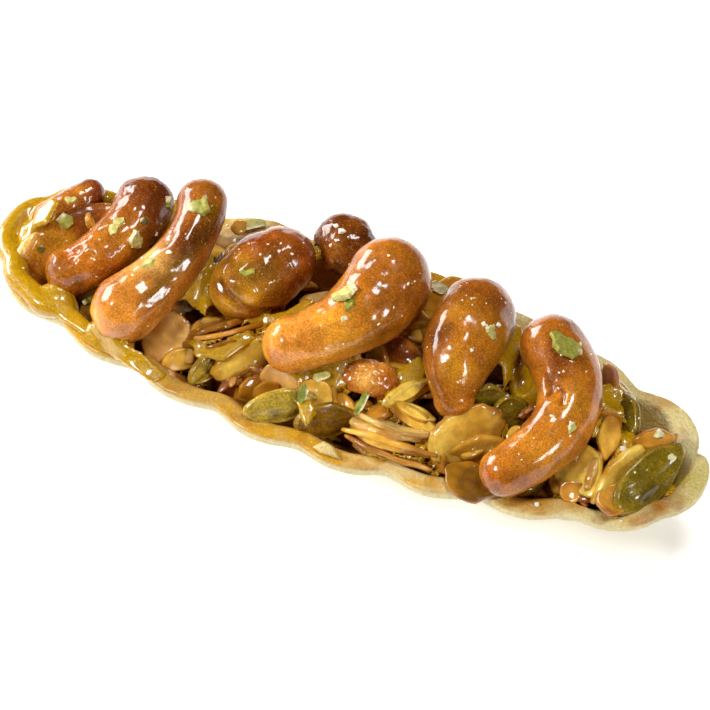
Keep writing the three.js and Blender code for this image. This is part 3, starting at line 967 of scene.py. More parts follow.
# ---------------------------------------------------------------- loose pieces
# Almond slices as one end, other end, width, roll, tone
SLICES = [
    ((-26, -6, 13), (-18.5, -8.5, 11), 7.5, 41, "peach"),
    ((-22, -10.5, 11), (-17, -6, 11.2), 3, 60, "gold"),
    ((-20, -6.5, 13.5), (-13, 0, 15), 7, -48, "dusk"),
    ((-20, -7.5, 12), (-13, -2, 13.5), 7, -52, "dusk"),
    ((-15.5, -6, 12), (-9, 0, 13.5), 7, -46, "brown"),
    ((-14.5, -10.5, 12), (-8, -2, 14.5), 4.5, 62, "yellow"),
    ((-13.5, -10, 9.5), (-8.5, -5, 10.5), 6, 80, "brown"),
    ((-10, -9.5, 9), (-5.5, -4.5, 11), 5, 52, "brown"),
    ((-11, -11, 8.5), (-9, -6, 9.5), 4, 35, "dusk"),
    ((-9, -7, 12.5), (-2, -8, 13), 5, 64, "peach"),
    ((-3.5, -8, 13.5), (3, -9, 13.5), 4.5, 54, "gold"),
    ((8, -6.5, 14.2), (13, -0.5, 15.7), 2.4, 60, "yellow"),
    ((8.5, -5.5, 14), (16.5, -7.2, 13.8), 2.6, 60, "yellow"),
    ((4.5, -9.5, 13.5), (16, -8, 13.5), 8, -42, "pale"),
    ((5, -10.5, 12.3), (16.5, -10, 12.3), 8, -48, "gold"),
    ((6, -10.8, 11.4), (14.5, -9.9, 11.6), 6, -50, "peach"),
    ((14, -8.5, 12.5), (19, -11, 11.2), 3.5, 73, "brown"),
    ((16, -10, 13.5), (23, -1.5, 14.5), 7.6, 58, "yellow"),
    ((17.5, -10, 11), (25, -3.5, 12), 6, 75, "gold"),
    ((19.4, -12.2, 14), (27.4, -12.9, 14), 5.2, 10, "amber"),
    ((32, -3, 14.5), (38, -7.5, 13), 6.5, 35, "yellow"),
    ((37.5, -7.5, 14), (36.5, -2, 15.5), 2.4, 70, "pale"),
    ((36, 2, 17.5), (37.5, -3, 15), 3, -27, "gold"),
    ((41.2, 0, 16.5), (38.4, -9.2, 14.2), 3.8, -60, "yellow"),
    ((40, 0, 15.4), (44.4, 3.4, 16), 4.4, 55, "brown"),
    ((40, -6, 14.5), (41, -10.3, 14), 4.2, -17, "brown"),
    ((6.5, 9, 13.5), (11.5, 15.8, 15), 6.5, 45, "gold"),
    ((4.5, 5.5, 14), (8, 8.5, 14.5), 6, 80, "gold"),
]

# Thin slices and splinters between them, with ends as a pixel and a height
THIN_SLICES = [
    ((354, 417, 15.2), (433, 440, 14.4), 6, -50, "pale"),
    ((347, 427, 14.4), (436, 453, 13.6), 6.5, -50, "gold"),
    ((347, 436, 13.4), (436, 472, 11.2), 5, -48, "peach"),
    ((352, 448, 10.4), (405, 466, 10), 4, -48, "pale"),
    ((188, 333, 14.8), (240, 318, 15.6), 5, -50, "dusk"),
    ((190, 340, 14.2), (264, 325, 15), 5.5, -50, "brown"),
    ((197, 347, 13.6), (260, 337, 14.2), 5, -48, "dusk"),
    ((384, 402, 15), (428, 381, 16), 2.2, 20, "yellow"),
    ((394, 404, 14.8), (436, 424, 14.2), 2.4, -20, "yellow"),
    # These two low slices lie in shadow and take darker tones as painted shade.
    ((240, 396, 12.5), (262, 380, 13.2), 3, 50, "dusk"),
    ((252, 398, 12), (280, 386, 12.8), 3, 55, "brown"),
    ((560, 498, 12.8), (582, 486, 13.2), 3, 20, "brown"),
    ((616, 455, 15.6), (604, 490, 14), 3, 50, "yellow"),
    ((92, 230, 17.0), (87, 213, 17.8), 1.7, 60, "yellow"),
    ((300, 386, 15), (334, 404, 14), 4, 40, "gold"),
    ((604, 364, 16.8), (613, 392, 15.6), 3, 60, "mauve"),
    ((232, 232, 15), (246, 222, 15.4), 2, 30, "gold"),
    ((600, 428, 15.2), (622, 416, 16.6), 4, 50, "brown"),
]

PUMPKIN_SEEDS = [
    ((-17.5, -11.5, 10.5), (-14.5, -5, 12.8), 3.4, 60, "straw"),
    ((-8, -15, 13.7), (0, -8.7, 14.1), 4.6, 60, "straw"),
    ((-1.5, -13.6, 13.3), (5.8, -8.8, 13.4), 5, 65, "bark"),
    ((41.5, -9, 14), (45.5, 3.5, 15), 6.2, 46, "moss"),
    ((34, 7.5, 14), (39.5, 2, 15.5), 5, 45, "moss"),
    ((18, -2, 15), (22, 1, 15), 5, 75, "moss"),
    ((-20, 8, 15), (-19, -0.5, 13.5), 6, 26, "bark"),
    ((21.5, -2.5, 13.5), (24.5, 1.5, 14.5), 5, 62, "moss"),
    ((27, -11.5, 11.5), (31.5, -4.5, 12), 4, 60, "bark"),
    ((-35, -8, 11), (-30.5, -3.5, 11.5), 4, 30, "bark"),
]


def heap_height(x, y):
    """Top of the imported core, which swells under each loose piece."""
    height = HEAP_LOW + HEAP_RISE * smoothstep(y, -10, 1) * (1 - smoothstep(np.abs(x - 2), 26, 42))
    height = height - 1.5 * smoothstep(y, 6, 14)
    for start, end, width, *_ in SLICES + PUMPKIN_SEEDS:
        run = np.subtract(end, start).astype(float)
        share = ((x - start[0]) * run[0] + (y - start[1]) * run[1]) / (run[0] ** 2 + run[1] ** 2)
        near = np.clip(share, 0, 1)
        off = np.hypot(x - start[0] - near * run[0], y - start[1] - near * run[1])
        support = start[2] + near * run[2] - SUPPORT_DEPTH
        swell = 1 - smoothstep(off, 0.2 * width, 0.7 * width)
        height = np.maximum(height, height + swell * (support - height))
    return height


def core_mesh():
    end_floor = HALF_LENGTH - BASE_HALF_LENGTH + WALL_STEP
    side_floor = HALF_WIDTH - BASE_HALF_WIDTH + WALL_STEP
    wall_share = (HEAP_LOW - FLOOR_THICKNESS) / (RIM_HEIGHT - FLOOR_THICKNESS)
    end_inset = end_floor + wall_share * (LIP_WIDTH - end_floor) + GAP
    side_inset = side_floor + wall_share * (LIP_WIDTH - side_floor) + GAP
    share = np.arange(CORE_COLUMNS) / CORE_COLUMNS
    rows = [ring(share, end_floor + GAP, side_floor + GAP, FLOOR_THICKNESS + GAP, 0.25, -GAP)]
    rows.append(ring(share, end_inset, side_inset, HEAP_LOW - CORE_SINK, 0.5, -GAP))
    for reach in np.linspace(0.96, 0.04, 44):
        end = HALF_LENGTH - reach * (HALF_LENGTH - end_inset)
        side = HALF_WIDTH - reach * (HALF_WIDTH - side_inset)
        rows.append(ring(share, end, side, lambda x, y: heap_height(x, y) - CORE_DROP, 0))
    foot = [[0, 0, FLOOR_THICKNESS + GAP]]
    points = np.concatenate([foot, *rows, [[0, 0, heap_height(0, 0) - CORE_DROP]]])
    top = smoothstep(points[:, 2], 6, 8)
    rough = 0.7 * noise(points, 2.5, 31) + 0.3 * noise(points, 1.0, 32)
    points[:, 2] += top * (rough - CORE_SINK)
    out = np.hypot(points[:, 0] / HALF_LENGTH, points[:, 1] / HALF_WIDTH)
    tint = painted(evenly((96, 50, 12), len(points)), linear(140, 84, 20), smoothstep(out, 0.45, 0.75))
    return Mesh(points, ball_faces(len(rows), CORE_COLUMNS), tint=tint)


def laid(local, start, end, roll):
    """Local points, x along and z up, moved to lie from one end to the other."""
    start, end = np.array(start, float), np.array(end, float)
    forward = unit(end - start)
    flat = unit(np.array([0, 0, 1.0]) - forward * forward[2])
    roll = math.radians(roll)
    normal = flat * math.cos(roll) + np.cross(forward, flat) * math.sin(roll)
    basis = np.stack([forward, np.cross(normal, forward), normal])
    return local @ basis + (start + end) / 2


def plate(length, width, thickness, seed, columns, steps):
    """A thin almond slice, rounded at its edge, bent and wavy."""
    reach = np.concatenate([np.linspace(0.15, 0.92, steps), (0.97, 0.992)])
    sides = np.concatenate([np.ones(steps + 2), [0], -np.ones(steps + 2)])
    reach = np.concatenate([reach, [1.0], reach[::-1]])
    turn = np.arange(columns) * TAU / columns
    x, y = np.cos(turn) * length / 2, np.sin(turn) * width / 2
    way = np.stack([x + seed * 7.7, y, turn * 0], -1)
    rag = 1 + 0.09 * noise(way, 2.2, seed) + 0.05 * noise(way, 0.8, seed + 3)
    rag = rag + 0.04 * np.sin(3 * turn + seed)
    pointed = 1 - 0.5 * smoothstep(np.cos(turn), 0.1, 1.0) ** 1.5
    rows = []
    for share, side in zip(reach, sides):
        z = np.full(columns, side * thickness / 2 * math.sqrt(max(1 - share**24, 0)))
        rows.append(np.stack([x * share * rag, y * pointed * share * rag, z], -1))
    points = np.concatenate([[[0, 0, thickness / 2]], *rows, [[0, 0, -thickness / 2]]])
    edge = np.concatenate([[0], np.repeat(reach, columns), [0]])
    bend = 0.45 * math.sin(2.3 * seed)
    along, across = points[:, 0] / length * 2, points[:, 1] / width * 2
    points[:, 2] += bend * along**2 + 0.35 * bend * across**2
    wave = 0.28 * noise(points + seed * 9.7, 3.0, seed)
    points[:, 2] += wave + 0.06 * noise(points + seed * 4.1, 1.1, seed + 1)
    return points, edge


SLICE_TONES = {
    "peach": (236, 182, 100),
    "yellow": (244, 200, 84),
    "gold": (236, 180, 70),
    "pale": (250, 216, 130),
    "brown": (206, 142, 48),
    "amber": (112, 72, 6),
    # A darker slice tone, partly the slices' own colour and partly painted shade for slices that lie
    # low among the others.
    "dusk": (146, 94, 24),
    "mauve": (176, 124, 100),
}
SHARD_TONES = ("gold", "brown", "dusk", "gold", "peach")

# Points round a slice, rows from its middle to its edge, and its thickness
WHOLE_SLICE = (48, 8, SLICE_THICKNESS)
THIN_SLICE = (36, 6, 0.7)
SHARD = (24, 4, 0.8)


def slice_piece(seed, start, end, width, roll, tone, kind):
    columns, steps, thickness = kind
    length = float(np.linalg.norm(np.subtract(end, start)))
    points, edge = plate(length, width, thickness, seed, columns, steps)
    tint = evenly(SLICE_TONES[tone], len(points))
    veins = 0.5 + 0.5 * np.sin(points[:, 1] * 4 + 2 * noise(points, 2.0, seed + 5))
    tint *= (0.9 + 0.15 * veins)[:, None]
    brown = linear(140, 78, 14)
    skin = smoothstep(edge + 0.05 * noise(points, 1.2, seed + 6), 0.9, 0.99)
    held = smoothstep(noise(points, 4.0, seed + 8), -0.3, 0.3)
    tint = painted(tint, brown, 0.75 * skin * held)
    end_share = points[:, 0] / length * 2 * (1 if seed % 2 else -1)
    toast = smoothstep(end_share + 0.6 * noise(points + seed, 2.2, seed + 7, 2), 0.35, 1.1)
    tint = painted(tint, brown, 0.75 * toast)
    glaze = smoothstep(noise(points + seed, 2.6, seed + 9, 2), 0.1, 0.7)
    tint = painted(tint, linear(192, 128, 12), 0.5 * glaze)
    faces = ball_faces(2 * steps + 5, columns)
    return Mesh(laid(points, start, end, roll), faces, tint=tint)


SEED_TONES = {"moss": (126, 104, 16), "straw": (180, 150, 52), "bark": (132, 90, 8)}
SEED_GRID = (34, 56)


def pumpkin_piece(seed, start, end, width, roll, tone):
    """A flat seed, pointed at its end, with a raised rim."""
    length = float(np.linalg.norm(np.subtract(end, start)))
    local = ball(*SEED_GRID)
    reach = np.hypot(local[:, 0], local[:, 1])
    point_end = 1 - 0.3 * smoothstep(local[:, 0], 0.1, 1.0)
    lip = 1 + 0.35 * np.exp(-(((reach - 0.9) / 0.07) ** 2))
    plump = np.sign(local[:, 2]) * np.abs(local[:, 2]) ** 0.8 * lip
    half_width = local[:, 1] * width / 2 * point_end
    scaled = np.stack([local[:, 0] * length / 2, half_width, plump * SEED_THICKNESS / 2], -1)
    scaled[:, 2] *= 0.62
    scaled += 0.1 * noise(scaled + seed * 5.1, 1.6, seed)[:, None] * unit(local)
    grooves = noise((scaled + seed * 2.9) * (0.35, 1.0, 1.0), 0.8, seed + 2, 2)
    scaled[:, 2] += 0.13 * grooves * np.sign(local[:, 2])
    green = linear(*SEED_TONES[tone])
    tint = evenly(SEED_TONES[tone], len(scaled))
    shade = smoothstep(noise(scaled + seed, 2.2, seed + 3, 2), -0.2, 0.8)
    tint = painted(tint, 0.35 * green, 0.7 * shade)
    rim = np.exp(-(((reach - 0.93) / 0.06) ** 2))
    tint = painted(tint, linear(176, 140, 46), 0.5 * rim)
    return Mesh(laid(scaled, start, end, roll), ball_faces(*SEED_GRID), tint=tint)


SESAME_TONES = ((176, 104, 40), (150, 84, 28), (200, 140, 62))
SESAME_GRID = (9, 12)


def sesame_piece(seed, place, heading, tilt):
    local = ball(*SESAME_GRID)[:, [2, 0, 1]]
    narrow = 1 - 0.35 * smoothstep(local[:, 0], -0.2, 1)
    sized = local * np.array(SESAME) / 2
    sized[:, 1:] *= narrow[:, None]
    run = np.array([math.cos(heading), math.sin(heading), math.sin(tilt)]) * SESAME[0] / 2
    points = laid(sized, place - run, place + run, 40 * math.sin(seed))
    tint = evenly(SESAME_TONES[seed % 3], len(points))
    return Mesh(points, ball_faces(*SESAME_GRID), tint=tint)


# How far the wall leans in for each millimetre down, at the sides and at the ends
WALL_SLOPE = (WALL_KNEE_INSET + WALL_STEP - LIP_WIDTH) / (RIM_HEIGHT - WALL_KNEE_HEIGHT - WALL_STEP)
END_SLOPE = 1.45 * WALL_SLOPE

# Middles and reach of the pieces that scattered ones leave clear
CLEAR = [(-23, -9, 4.5), (-8, -4, 2.5), (21, -12, 4), (41, -4, 3)]

# Patches of scattered pieces: how many, and the range of x and of y
SESAME_PATCHES = [
    (26, (-13, -3), (-11, -6)),
    (44, (29, 38), (-10, -4)),
    (14, (20, 25), (0, 3)),
    (20, (40, 44), (-6, 4)),
]
SHARD_PATCHES = [
    (40, (-28, 4), (-11, -3)),
    (20, (4, 26), (-11, 0)),
    (20, (30, 44), (-9, 5)),
    (36, (-30, 30), (0, 11)),
    (16, (-24, -6), (-4, 4)),
]

rng = np.random.default_rng(7)


def in_shell(point, margin):
    """Whether a point is inside the wall at its height, with room to spare."""
    below = max(RIM_HEIGHT - point[2], 0)
    along = abs(point[0]) / (HALF_LENGTH - (LIP_WIDTH + END_SLOPE * below + margin))
    across = abs(point[1]) / (HALF_WIDTH - (LIP_WIDTH + WALL_SLOPE * below + margin))
    return along**TIP_POWER + across**SIDE_POWER < 1


def scattered(count, x_range, y_range):
    """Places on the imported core, with a heading and a tilt for each."""
    places = []
    for _ in range(count):
        x, y = rng.uniform(*x_range), rng.uniform(*y_range)
        if any(math.hypot(x - clear_x, y - clear_y) < reach for clear_x, clear_y, reach in CLEAR):
            continue
        place = np.array([x, y, float(heap_height(x, y))])
        places.append((place, rng.uniform(0, TAU), rng.uniform(-0.5, 0.5)))
    return places


def sesame_pieces():
    pieces = []
    for patch in SESAME_PATCHES:
        for place, heading, tilt in scattered(*patch):
            if in_shell(place, 0.8):
                pieces.append(sesame_piece(len(pieces), place - (0, 0, 0.5), heading, tilt))
    return pieces


def slice_pieces():
    """The slices that the photograph shows, whole ones and then thin ones."""
    pieces = [slice_piece(i, *piece, WHOLE_SLICE) for i, piece in enumerate(SLICES)]
    for start, end, width, roll, tone in THIN_SLICES:
        ends = spot(*start), spot(*end)
        pieces.append(slice_piece(len(pieces), *ends, width, roll, tone, THIN_SLICE))
    return pieces


def shard_pieces():
    """Broken bits of slices between the others."""
    pieces = []
    for patch in SHARD_PATCHES:
        for place, heading, tilt in scattered(*patch):
            length = rng.uniform(3.5, 7)
            run = np.array([math.cos(heading), math.sin(heading), 0.6 * math.sin(tilt)]) * length / 2
            sunk = place - (0, 0, rng.uniform(0.4, 1.6))
            width, roll, tone = rng.uniform(2.5, 5), rng.uniform(-70, 70), rng.choice(SHARD_TONES)
            ends = sunk - run, sunk + run
            if all(in_shell(end, 0.4 * width) for end in ends):
                pieces.append(slice_piece(100 + len(pieces), *ends, width, roll, tone, SHARD))
    return pieces


# ---------------------------------------------------------------- toppings
CHIP_THICKNESS = 0.7
CHIP_CORNERS = 6
CHIP_SHADES = {
    "green": (148, 142, 40),
    "pale": (196, 186, 104),
    "cream": (228, 220, 168),
    "dark": (98, 94, 14),
    "stem": (132, 138, 44),
}


def chip_piece(seed, place, normal, heading, length, width, shade):
    """A broken flake of green seed with a cream skin along one side."""
    local_rng = np.random.default_rng(900 + seed)
    spread = local_rng.uniform(-0.3, 0.3, CHIP_CORNERS)
    angle = (np.arange(CHIP_CORNERS) + spread) * TAU / CHIP_CORNERS
    reach = local_rng.uniform(0.75, 1.2, CHIP_CORNERS)
    outline = subdivided(np.stack([np.cos(angle) * reach, np.sin(angle) * reach], -1), 5)
    outline *= 1 + 0.035 * local_rng.standard_normal((len(outline), 1))
    outline *= (0.62 * length, 0.62 * width)
    half = CHIP_THICKNESS / 2
    shares = (0.4, 0.75, 0.97, 1.0, 0.95, 0.7, 0.35)
    sides = (1, 1, 1, 0, -1, -1, -1)
    rows = []
    for share, side in zip(shares, sides):
        rows.append(np.column_stack([outline * share, np.full(len(outline), side * half)]))
    points = np.concatenate([[[0, 0, half]], *rows, [[0, 0, -half]]])
    points[:, 2] += 0.2 * noise(points + seed * 3.3, 0.9, seed, 2) + 0.05 * points[:, 0] ** 2
    tint = evenly(CHIP_SHADES[shade], len(points))
    tint *= (1 + 0.3 * noise(points + seed, 0.6, seed + 1, 2))[:, None]
    rag = 0.35 * noise(points + seed, 0.7, seed + 2)
    edge = smoothstep(-points[:, 1] / width * 2 + rag, 0.5, 0.8)
    tint = painted(tint, linear(240, 232, 184), 0.85 * edge)
    up = unit(normal)
    across = unit(np.cross(up, heading))
    basis = np.stack([np.cross(across, up), across, up])
    faces = ball_faces(len(shares), len(outline))
    return Mesh(points @ basis + place, faces, tint=np.clip(tint, 0.002, 1))


# A crumb starts as a regular solid of 20 faces
GOLDEN = (1 + math.sqrt(5)) / 2
CRUMB_CORNERS = [
    np.roll((small, large * GOLDEN, 0), turn)
    for turn in range(3)
    for large in (1, -1)
    for small in (-1, 1)
]
CRUMB_FACES = [(0, 11, 5), (0, 5, 1), (0, 1, 7), (0, 7, 10), (0, 10, 11)]
CRUMB_FACES += [(1, 5, 9), (5, 11, 4), (11, 10, 2), (10, 7, 6), (7, 1, 8)]
CRUMB_FACES += [(3, 9, 4), (3, 4, 2), (3, 2, 6), (3, 6, 8), (3, 8, 9)]
CRUMB_FACES += [(4, 9, 5), (2, 4, 11), (6, 2, 10), (8, 6, 7), (9, 8, 1)]


def crumb_piece(seed, place, size, bright=True):
    """One small angular crumb."""
    local_rng = np.random.default_rng(3000 + seed)
    points = unit(CRUMB_CORNERS) * local_rng.uniform(0.6, 1.25, (12, 1)) * size / 2
    points = points * local_rng.uniform(0.55, 1.3, 3) + place
    tone = (244, 240, 222) if bright else (206, 186, 112)
    return Mesh(points, CRUMB_FACES, tint=evenly(tone, len(points)))


# Chips as a place in the photograph, heading in degrees, length, width and shade
CHIPS = [
    ((198, 203), 100, 3.4, 3.1, "green"),
    ((139, 240), 60, 3.0, 2.0, "pale"),
    ((120, 221), 30, 1.6, 1.2, "pale"),
    ((112, 229), 80, 1.7, 1.4, "pale"),
    ((147, 262), 20, 2.2, 1.9, "pale"),
    ((66, 221), 40, 2.2, 1.7, "green"),
    ((71, 199), 10, 1.5, 1.0, "pale"),
    ((41, 249), 0, 1.0, 0.9, "dark"),
    ((247, 270), 30, 1.9, 1.4, "green"),
    ((254, 226), 10, 2.9, 1.3, "pale"),
    ((345, 288), 272, 5.2, 3.1, "pale"),
    ((350, 302), 60, 2.0, 1.4, "green"),
    ((493, 331), 20, 2.2, 2.0, "pale"),
    ((568, 339), 285, 4.9, 4.6, "green"),
    ((573, 426), 70, 1.5, 0.9, "pale"),
    ((414, 243), 150, 2.4, 1.2, "cream"),
    ((440, 287), 150, 2.6, 1.3, "cream"),
    ((186, 306), 5, 2.7, 1.4, "cream"),
    ((88, 298), 60, 1.9, 1.5, "dark"),
    ((322, 377), 20, 2.0, 1.1, "pale"),
    ((301, 402), 75, 2.4, 1.1, "stem"),
    ((357, 412), 62, 2.9, 0.9, "stem"),
    ((171, 203), 70, 2.0, 1.4, "green"),
    ((228, 186), 20, 1.4, 1.0, "cream"),
    ((144, 221), 40, 1.3, 1.0, "dark"),
    ((345, 320), 120, 1.4, 0.8, "cream"),
    ((672, 457), 40, 1.3, 1.0, "cream"),
    # This cream chip sits on a slice's white highlight and stands in for it: a painted highlight.
    ((659, 434), 20, 1.2, 1.0, "cream"),
]

# White crumbs as a place in the photograph and a size
CRUMBS = [
    ((292, 254), 1.3),
    ((98, 226), 0.8),
    ((170, 232), 0.9),
    ((168, 252), 1.0),
    ((156, 234), 0.9),
    ((342, 231), 1.1),
    ((336, 226), 0.9),
    ((330, 246), 0.9),
    ((374, 260), 0.8),
    ((378, 324), 0.8),
    ((498, 325), 1.3),
    ((484, 325), 1.0),
    ((471, 350), 1.1),
    ((553, 419), 1.2),
    ((571, 425), 0.9),
    ((576, 458), 0.9),
    ((624, 450), 1.2),
    ((671, 462), 0.9),
    ((135, 209), 0.8),
    ((120, 197), 0.6),
    ((264, 297), 0.6),
    ((236, 240), 0.8),
    ((96, 277), 0.8),
    ((537, 506), 0.9),
    ((707, 450), 1.0),
    ((705, 455), 0.8),
    ((701, 444), 0.7),
    # This crumb sits on the same white highlight and stands in for it too: a painted highlight.
    ((658, 430), 0.7),
    ((307, 378), 0.7),
    ((345, 318), 0.8),
]

# Draws of fine crumbs over the whole cookie, of which those on top of the heap stay
FINE_CRUMBS = 260


def chip_pieces(tree):
    """The chips where the photograph shows them, flat on the surface or standing as stems."""
    right, up, back = camera_axes()
    pieces = []
    for pixel, heading, length, width, shade in CHIPS:
        place, normal = seen(tree, pixel)
        if place is None:
            continue
        turn = math.radians(heading)
        toward = right * math.cos(turn) + up * math.sin(turn)
        if shade == "stem":
            toward = unit(toward + 0.35 * back)
            lean = unit(back - (back @ toward) * toward)
            centre = place + 0.5 * length * toward
        else:
            lean = unit(normal + 0.4 * back)
            toward = unit(toward - back * (toward @ lean) / (back @ lean))
            centre = place + 0.25 * lean
        pieces.append(chip_piece(len(pieces), centre, lean, toward, length, width, shade))
    return pieces


def crumb_pieces(tree):
    """The crumbs that the photograph shows, each with a smaller one, and then fine ones."""
    pieces = []
    for pixel, size in CRUMBS:
        place, normal = seen(tree, pixel)
        if place is not None:
            for share in (1.0, 0.6):
                shift = rng.normal(0, 0.4 * size, 3) * (1 - share)
                pieces.append(crumb_piece(len(pieces), place + 0.2 * normal + shift, size * share))
    for _ in range(FINE_CRUMBS):
        x, y = rng.uniform(-44, 44), rng.uniform(-11, 13)
        place, normal = hit(tree, (x, y, 60), (0, 0, -1))
        if place is not None and place[2] > RIM_HEIGHT:
            size = rng.uniform(0.2, 0.5)
            centre = place + 0.1 * size * normal
            pieces.append(crumb_piece(len(pieces), centre, size, rng.random() < 0.7))
    return pieces


# ---------------------------------------------------------------- caramel
VOXEL = 0.25

# Radii of the balls that close the crevices everywhere, and wider ones where caramel pools
CREVICE = 0.4
POOL = 1.8

# How far the caramel stays under the closed surface, and how far it reaches into the pieces
HELD_BACK = 0.1
OVERLAP = 0.05

# Fewest vertices of a loose drop that stays
SMALLEST_DROP = 160


def film(outline, thickness=0.9):
    """A thin web or flake inside an outline of pixels and heights."""
    corners = np.array([spot(*corner) for corner in outline])
    edge = subdivided(corners, 4)
    middle = corners.mean(0)
    normal = unit(np.cross(edge - middle, np.roll(edge, -1, 0) - middle).sum(0))
    normal = normal * (1 if normal[2] > 0 else -1)
    half = normal * (thickness / 2)
    shares = (0.33, 0.66, 1.0, 0.66, 0.33)
    rows = []
    for share, side in zip(shares, (1, 1, 0, -1, -1)):
        rows.append(middle + share * (edge - middle) + side * half)
    points = np.concatenate([[middle + half], *rows, [middle - half]])
    faces = ball_faces(len(shares), len(edge))
    first = points[list(faces[0])]
    if np.dot(np.cross(first[1] - first[0], first[2] - first[0]), normal) < 0:
        faces = [tuple(reversed(face)) for face in faces]
    return Mesh(points, faces)


TUBE_COLUMNS = 14
BAND_STEPS = 60


def tube(path, radii):
    """A closed round bar along a path of points in millimetres."""
    forward = unit(np.gradient(path, axis=0))
    side = unit(np.cross(forward, (0.0, 0.0, 1.0)))
    up = np.cross(side, forward)
    turn = np.arange(TUBE_COLUMNS) * TAU / TUBE_COLUMNS
    rows = []
    for place, radius, across, above in zip(path, radii, side, up):
        round_it = np.cos(turn)[:, None] * across + np.sin(turn)[:, None] * above
        rows.append(place + radius * round_it)
    first = path[0] - forward[0] * radii[0] * 0.7
    last = path[-1] + forward[-1] * radii[-1] * 0.7
    return Mesh(np.concatenate([[first], *rows, [last]]), ball_faces(len(rows), TUBE_COLUMNS))


def rim_band(start, end, radius, inset, height):
    """Caramel that lies along the rim between two shares of the outline."""
    share = np.linspace(start, end, BAND_STEPS)
    point, outward, bulge = rim_at(share)
    flat = share * 0
    reach = bulge - inset + 0.4 * noise(np.stack([share * 400, flat, flat], -1), 6.0, 71)
    swell = np.sin(np.linspace(0.12, math.pi - 0.12, BAND_STEPS)) ** 0.4
    wobble = 1 + 0.12 * noise(np.stack([share * 400, flat + 5, flat], -1), 5.0, 72)
    level = np.full((BAND_STEPS, 1), height)
    path = np.concatenate([point + outward * reach[:, None], level], axis=1)
    return tube(path, radius * swell * wobble)


# Webs of caramel, each an outline of pixels with heights in millimetres
WEBS = [
    [
        (178, 298, 17.5), (192, 258, 19), (206, 236, 20), (216, 262, 19),
        (213, 296, 16.5), (206, 322, 14.5), (192, 310, 15.5),
    ],
    [
        (110, 338, 15.5), (142, 350, 15), (166, 372, 13.4),
        (152, 384, 13.1), (124, 366, 13.1), (98, 346, 13.1),
    ],
    [
        (42, 298, 13.4), (74, 306, 13.8), (98, 328, 13.8),
        (90, 340, 13.3), (62, 322, 13.2), (38, 302, 13.2),
    ],
    [
        (186, 344, 14.4), (214, 348, 15), (252, 332, 16),
        (258, 338, 15.7), (226, 362, 14.6), (192, 360, 14),
    ],
    [
        (284, 366, 16), (318, 368, 16), (345, 362, 16.5),
        (350, 384, 14.6), (330, 398, 14), (300, 394, 14.4),
    ],
    [
        (504, 318, 18), (524, 322, 17), (527, 352, 16),
        (514, 382, 15.2), (502, 394, 15.4), (499, 360, 17),
    ],
    [
        (600, 356, 16.5), (614, 372, 15.5), (640, 398, 14.5),
        (637, 418, 14.5), (612, 402, 14.6), (602, 382, 15.5),
    ],
    [
        (232, 304, 16), (262, 308, 16), (268, 330, 14.8),
        (250, 334, 14.5), (238, 322, 15),
    ],
    [
        (28, 232, 15.4), (36, 208, 16.2), (55, 194, 18.2),
        (62, 201, 18.6), (48, 226, 17.1),
    ],
    [
        (16, 250, 13.3), (21, 228, 13.7), (36, 214, 14.4),
        (42, 224, 14.9), (29, 246, 13.9),
    ],
    [
        (258, 318, 15.6), (285, 311, 16.5), (308, 296, 17.4),
        (322, 298, 17.6), (302, 318, 16.6), (276, 331, 15.7),
    ],
    [
        (604, 438, 15.2), (626, 430, 15.8), (646, 444, 15.6),
        (622, 468, 14.8), (604, 476, 14.2),
    ],
    [
        (294, 400, 15.6), (312, 397, 15.8), (317, 408, 15.4),
        (312, 424, 14.7), (305, 430, 14.4), (300, 418, 14.9),
    ],
    [
        (390, 375, 14.5), (420, 352, 16), (432, 366, 15.5),
        (424, 384, 14.5), (402, 392, 14),
    ],
    [
        (446, 462, 14.2), (478, 462, 14.2), (500, 470, 14),
        (492, 494, 13.2), (462, 498, 13), (444, 484, 13.4),
    ],
]


# Where caramel pools between the pieces: middle in millimetres and reach
POOLS = [
    ((-44, 3, 13.5), 4.5),
    ((-38, -10, 13), 5),
    ((-29, -12, 13), 5),
    ((-21, 3, 15), 3.5),
    ((24, 4, 15), 4),
    ((35, 6, 14), 4.5),
]


def surface_field(points, quads, low, shape, width):
    """Signed distance in millimetres to a closed surface, on a dense grid."""
    transform = openvdb.createLinearTransform(voxelSize=VOXEL)
    grid = openvdb.FloatGrid.createLevelSetFromPolygons(
        points=np.ascontiguousarray((points - low).astype(np.float32)),
        quads=np.ascontiguousarray(quads.astype(np.uint32)),
        transform=transform,
        halfWidth=width / VOXEL,
    )
    field = np.empty(shape, np.float32)
    grid.copyToArray(field)
    return field


def as_quads(faces):
    return np.array([face if len(face) == 4 else (*face, face[2]) for face in faces], np.uint32)


def field_surface(field, level, low):
    """The surface where the field has that level, as points and quads."""
    grid = openvdb.FloatGrid(background=float(field.max()))
    grid.copyFromArray(field.astype(np.float32))
    grid.transform = openvdb.createLinearTransform(voxelSize=VOXEL)
    points, quads = grid.convertToQuads(isovalue=level)
    return points.astype(float) + low, quads


def closed_field(field, radius, low):
    """Signed distance to the surface after a ball of that radius has closed its crevices."""
    points, quads = field_surface(field, radius, low)
    return surface_field(points, quads, low, field.shape, radius + 1.0) + radius


def pooling(low, shape):
    """How much caramel pools at each place of the grid, from 0 to 1."""
    axes = [low[i] + VOXEL * np.arange(shape[i]) for i in range(3)]
    x, y, z = np.meshgrid(*axes, indexing="ij", sparse=True)
    total = np.zeros(shape, np.float32)
    for middle, reach in POOLS:
        away = np.sqrt((x - middle[0]) ** 2 + (y - middle[1]) ** 2 + (z - middle[2]) ** 2)
        total = np.maximum(total, 1 - smoothstep(away, 0.55 * reach, reach))
    return total


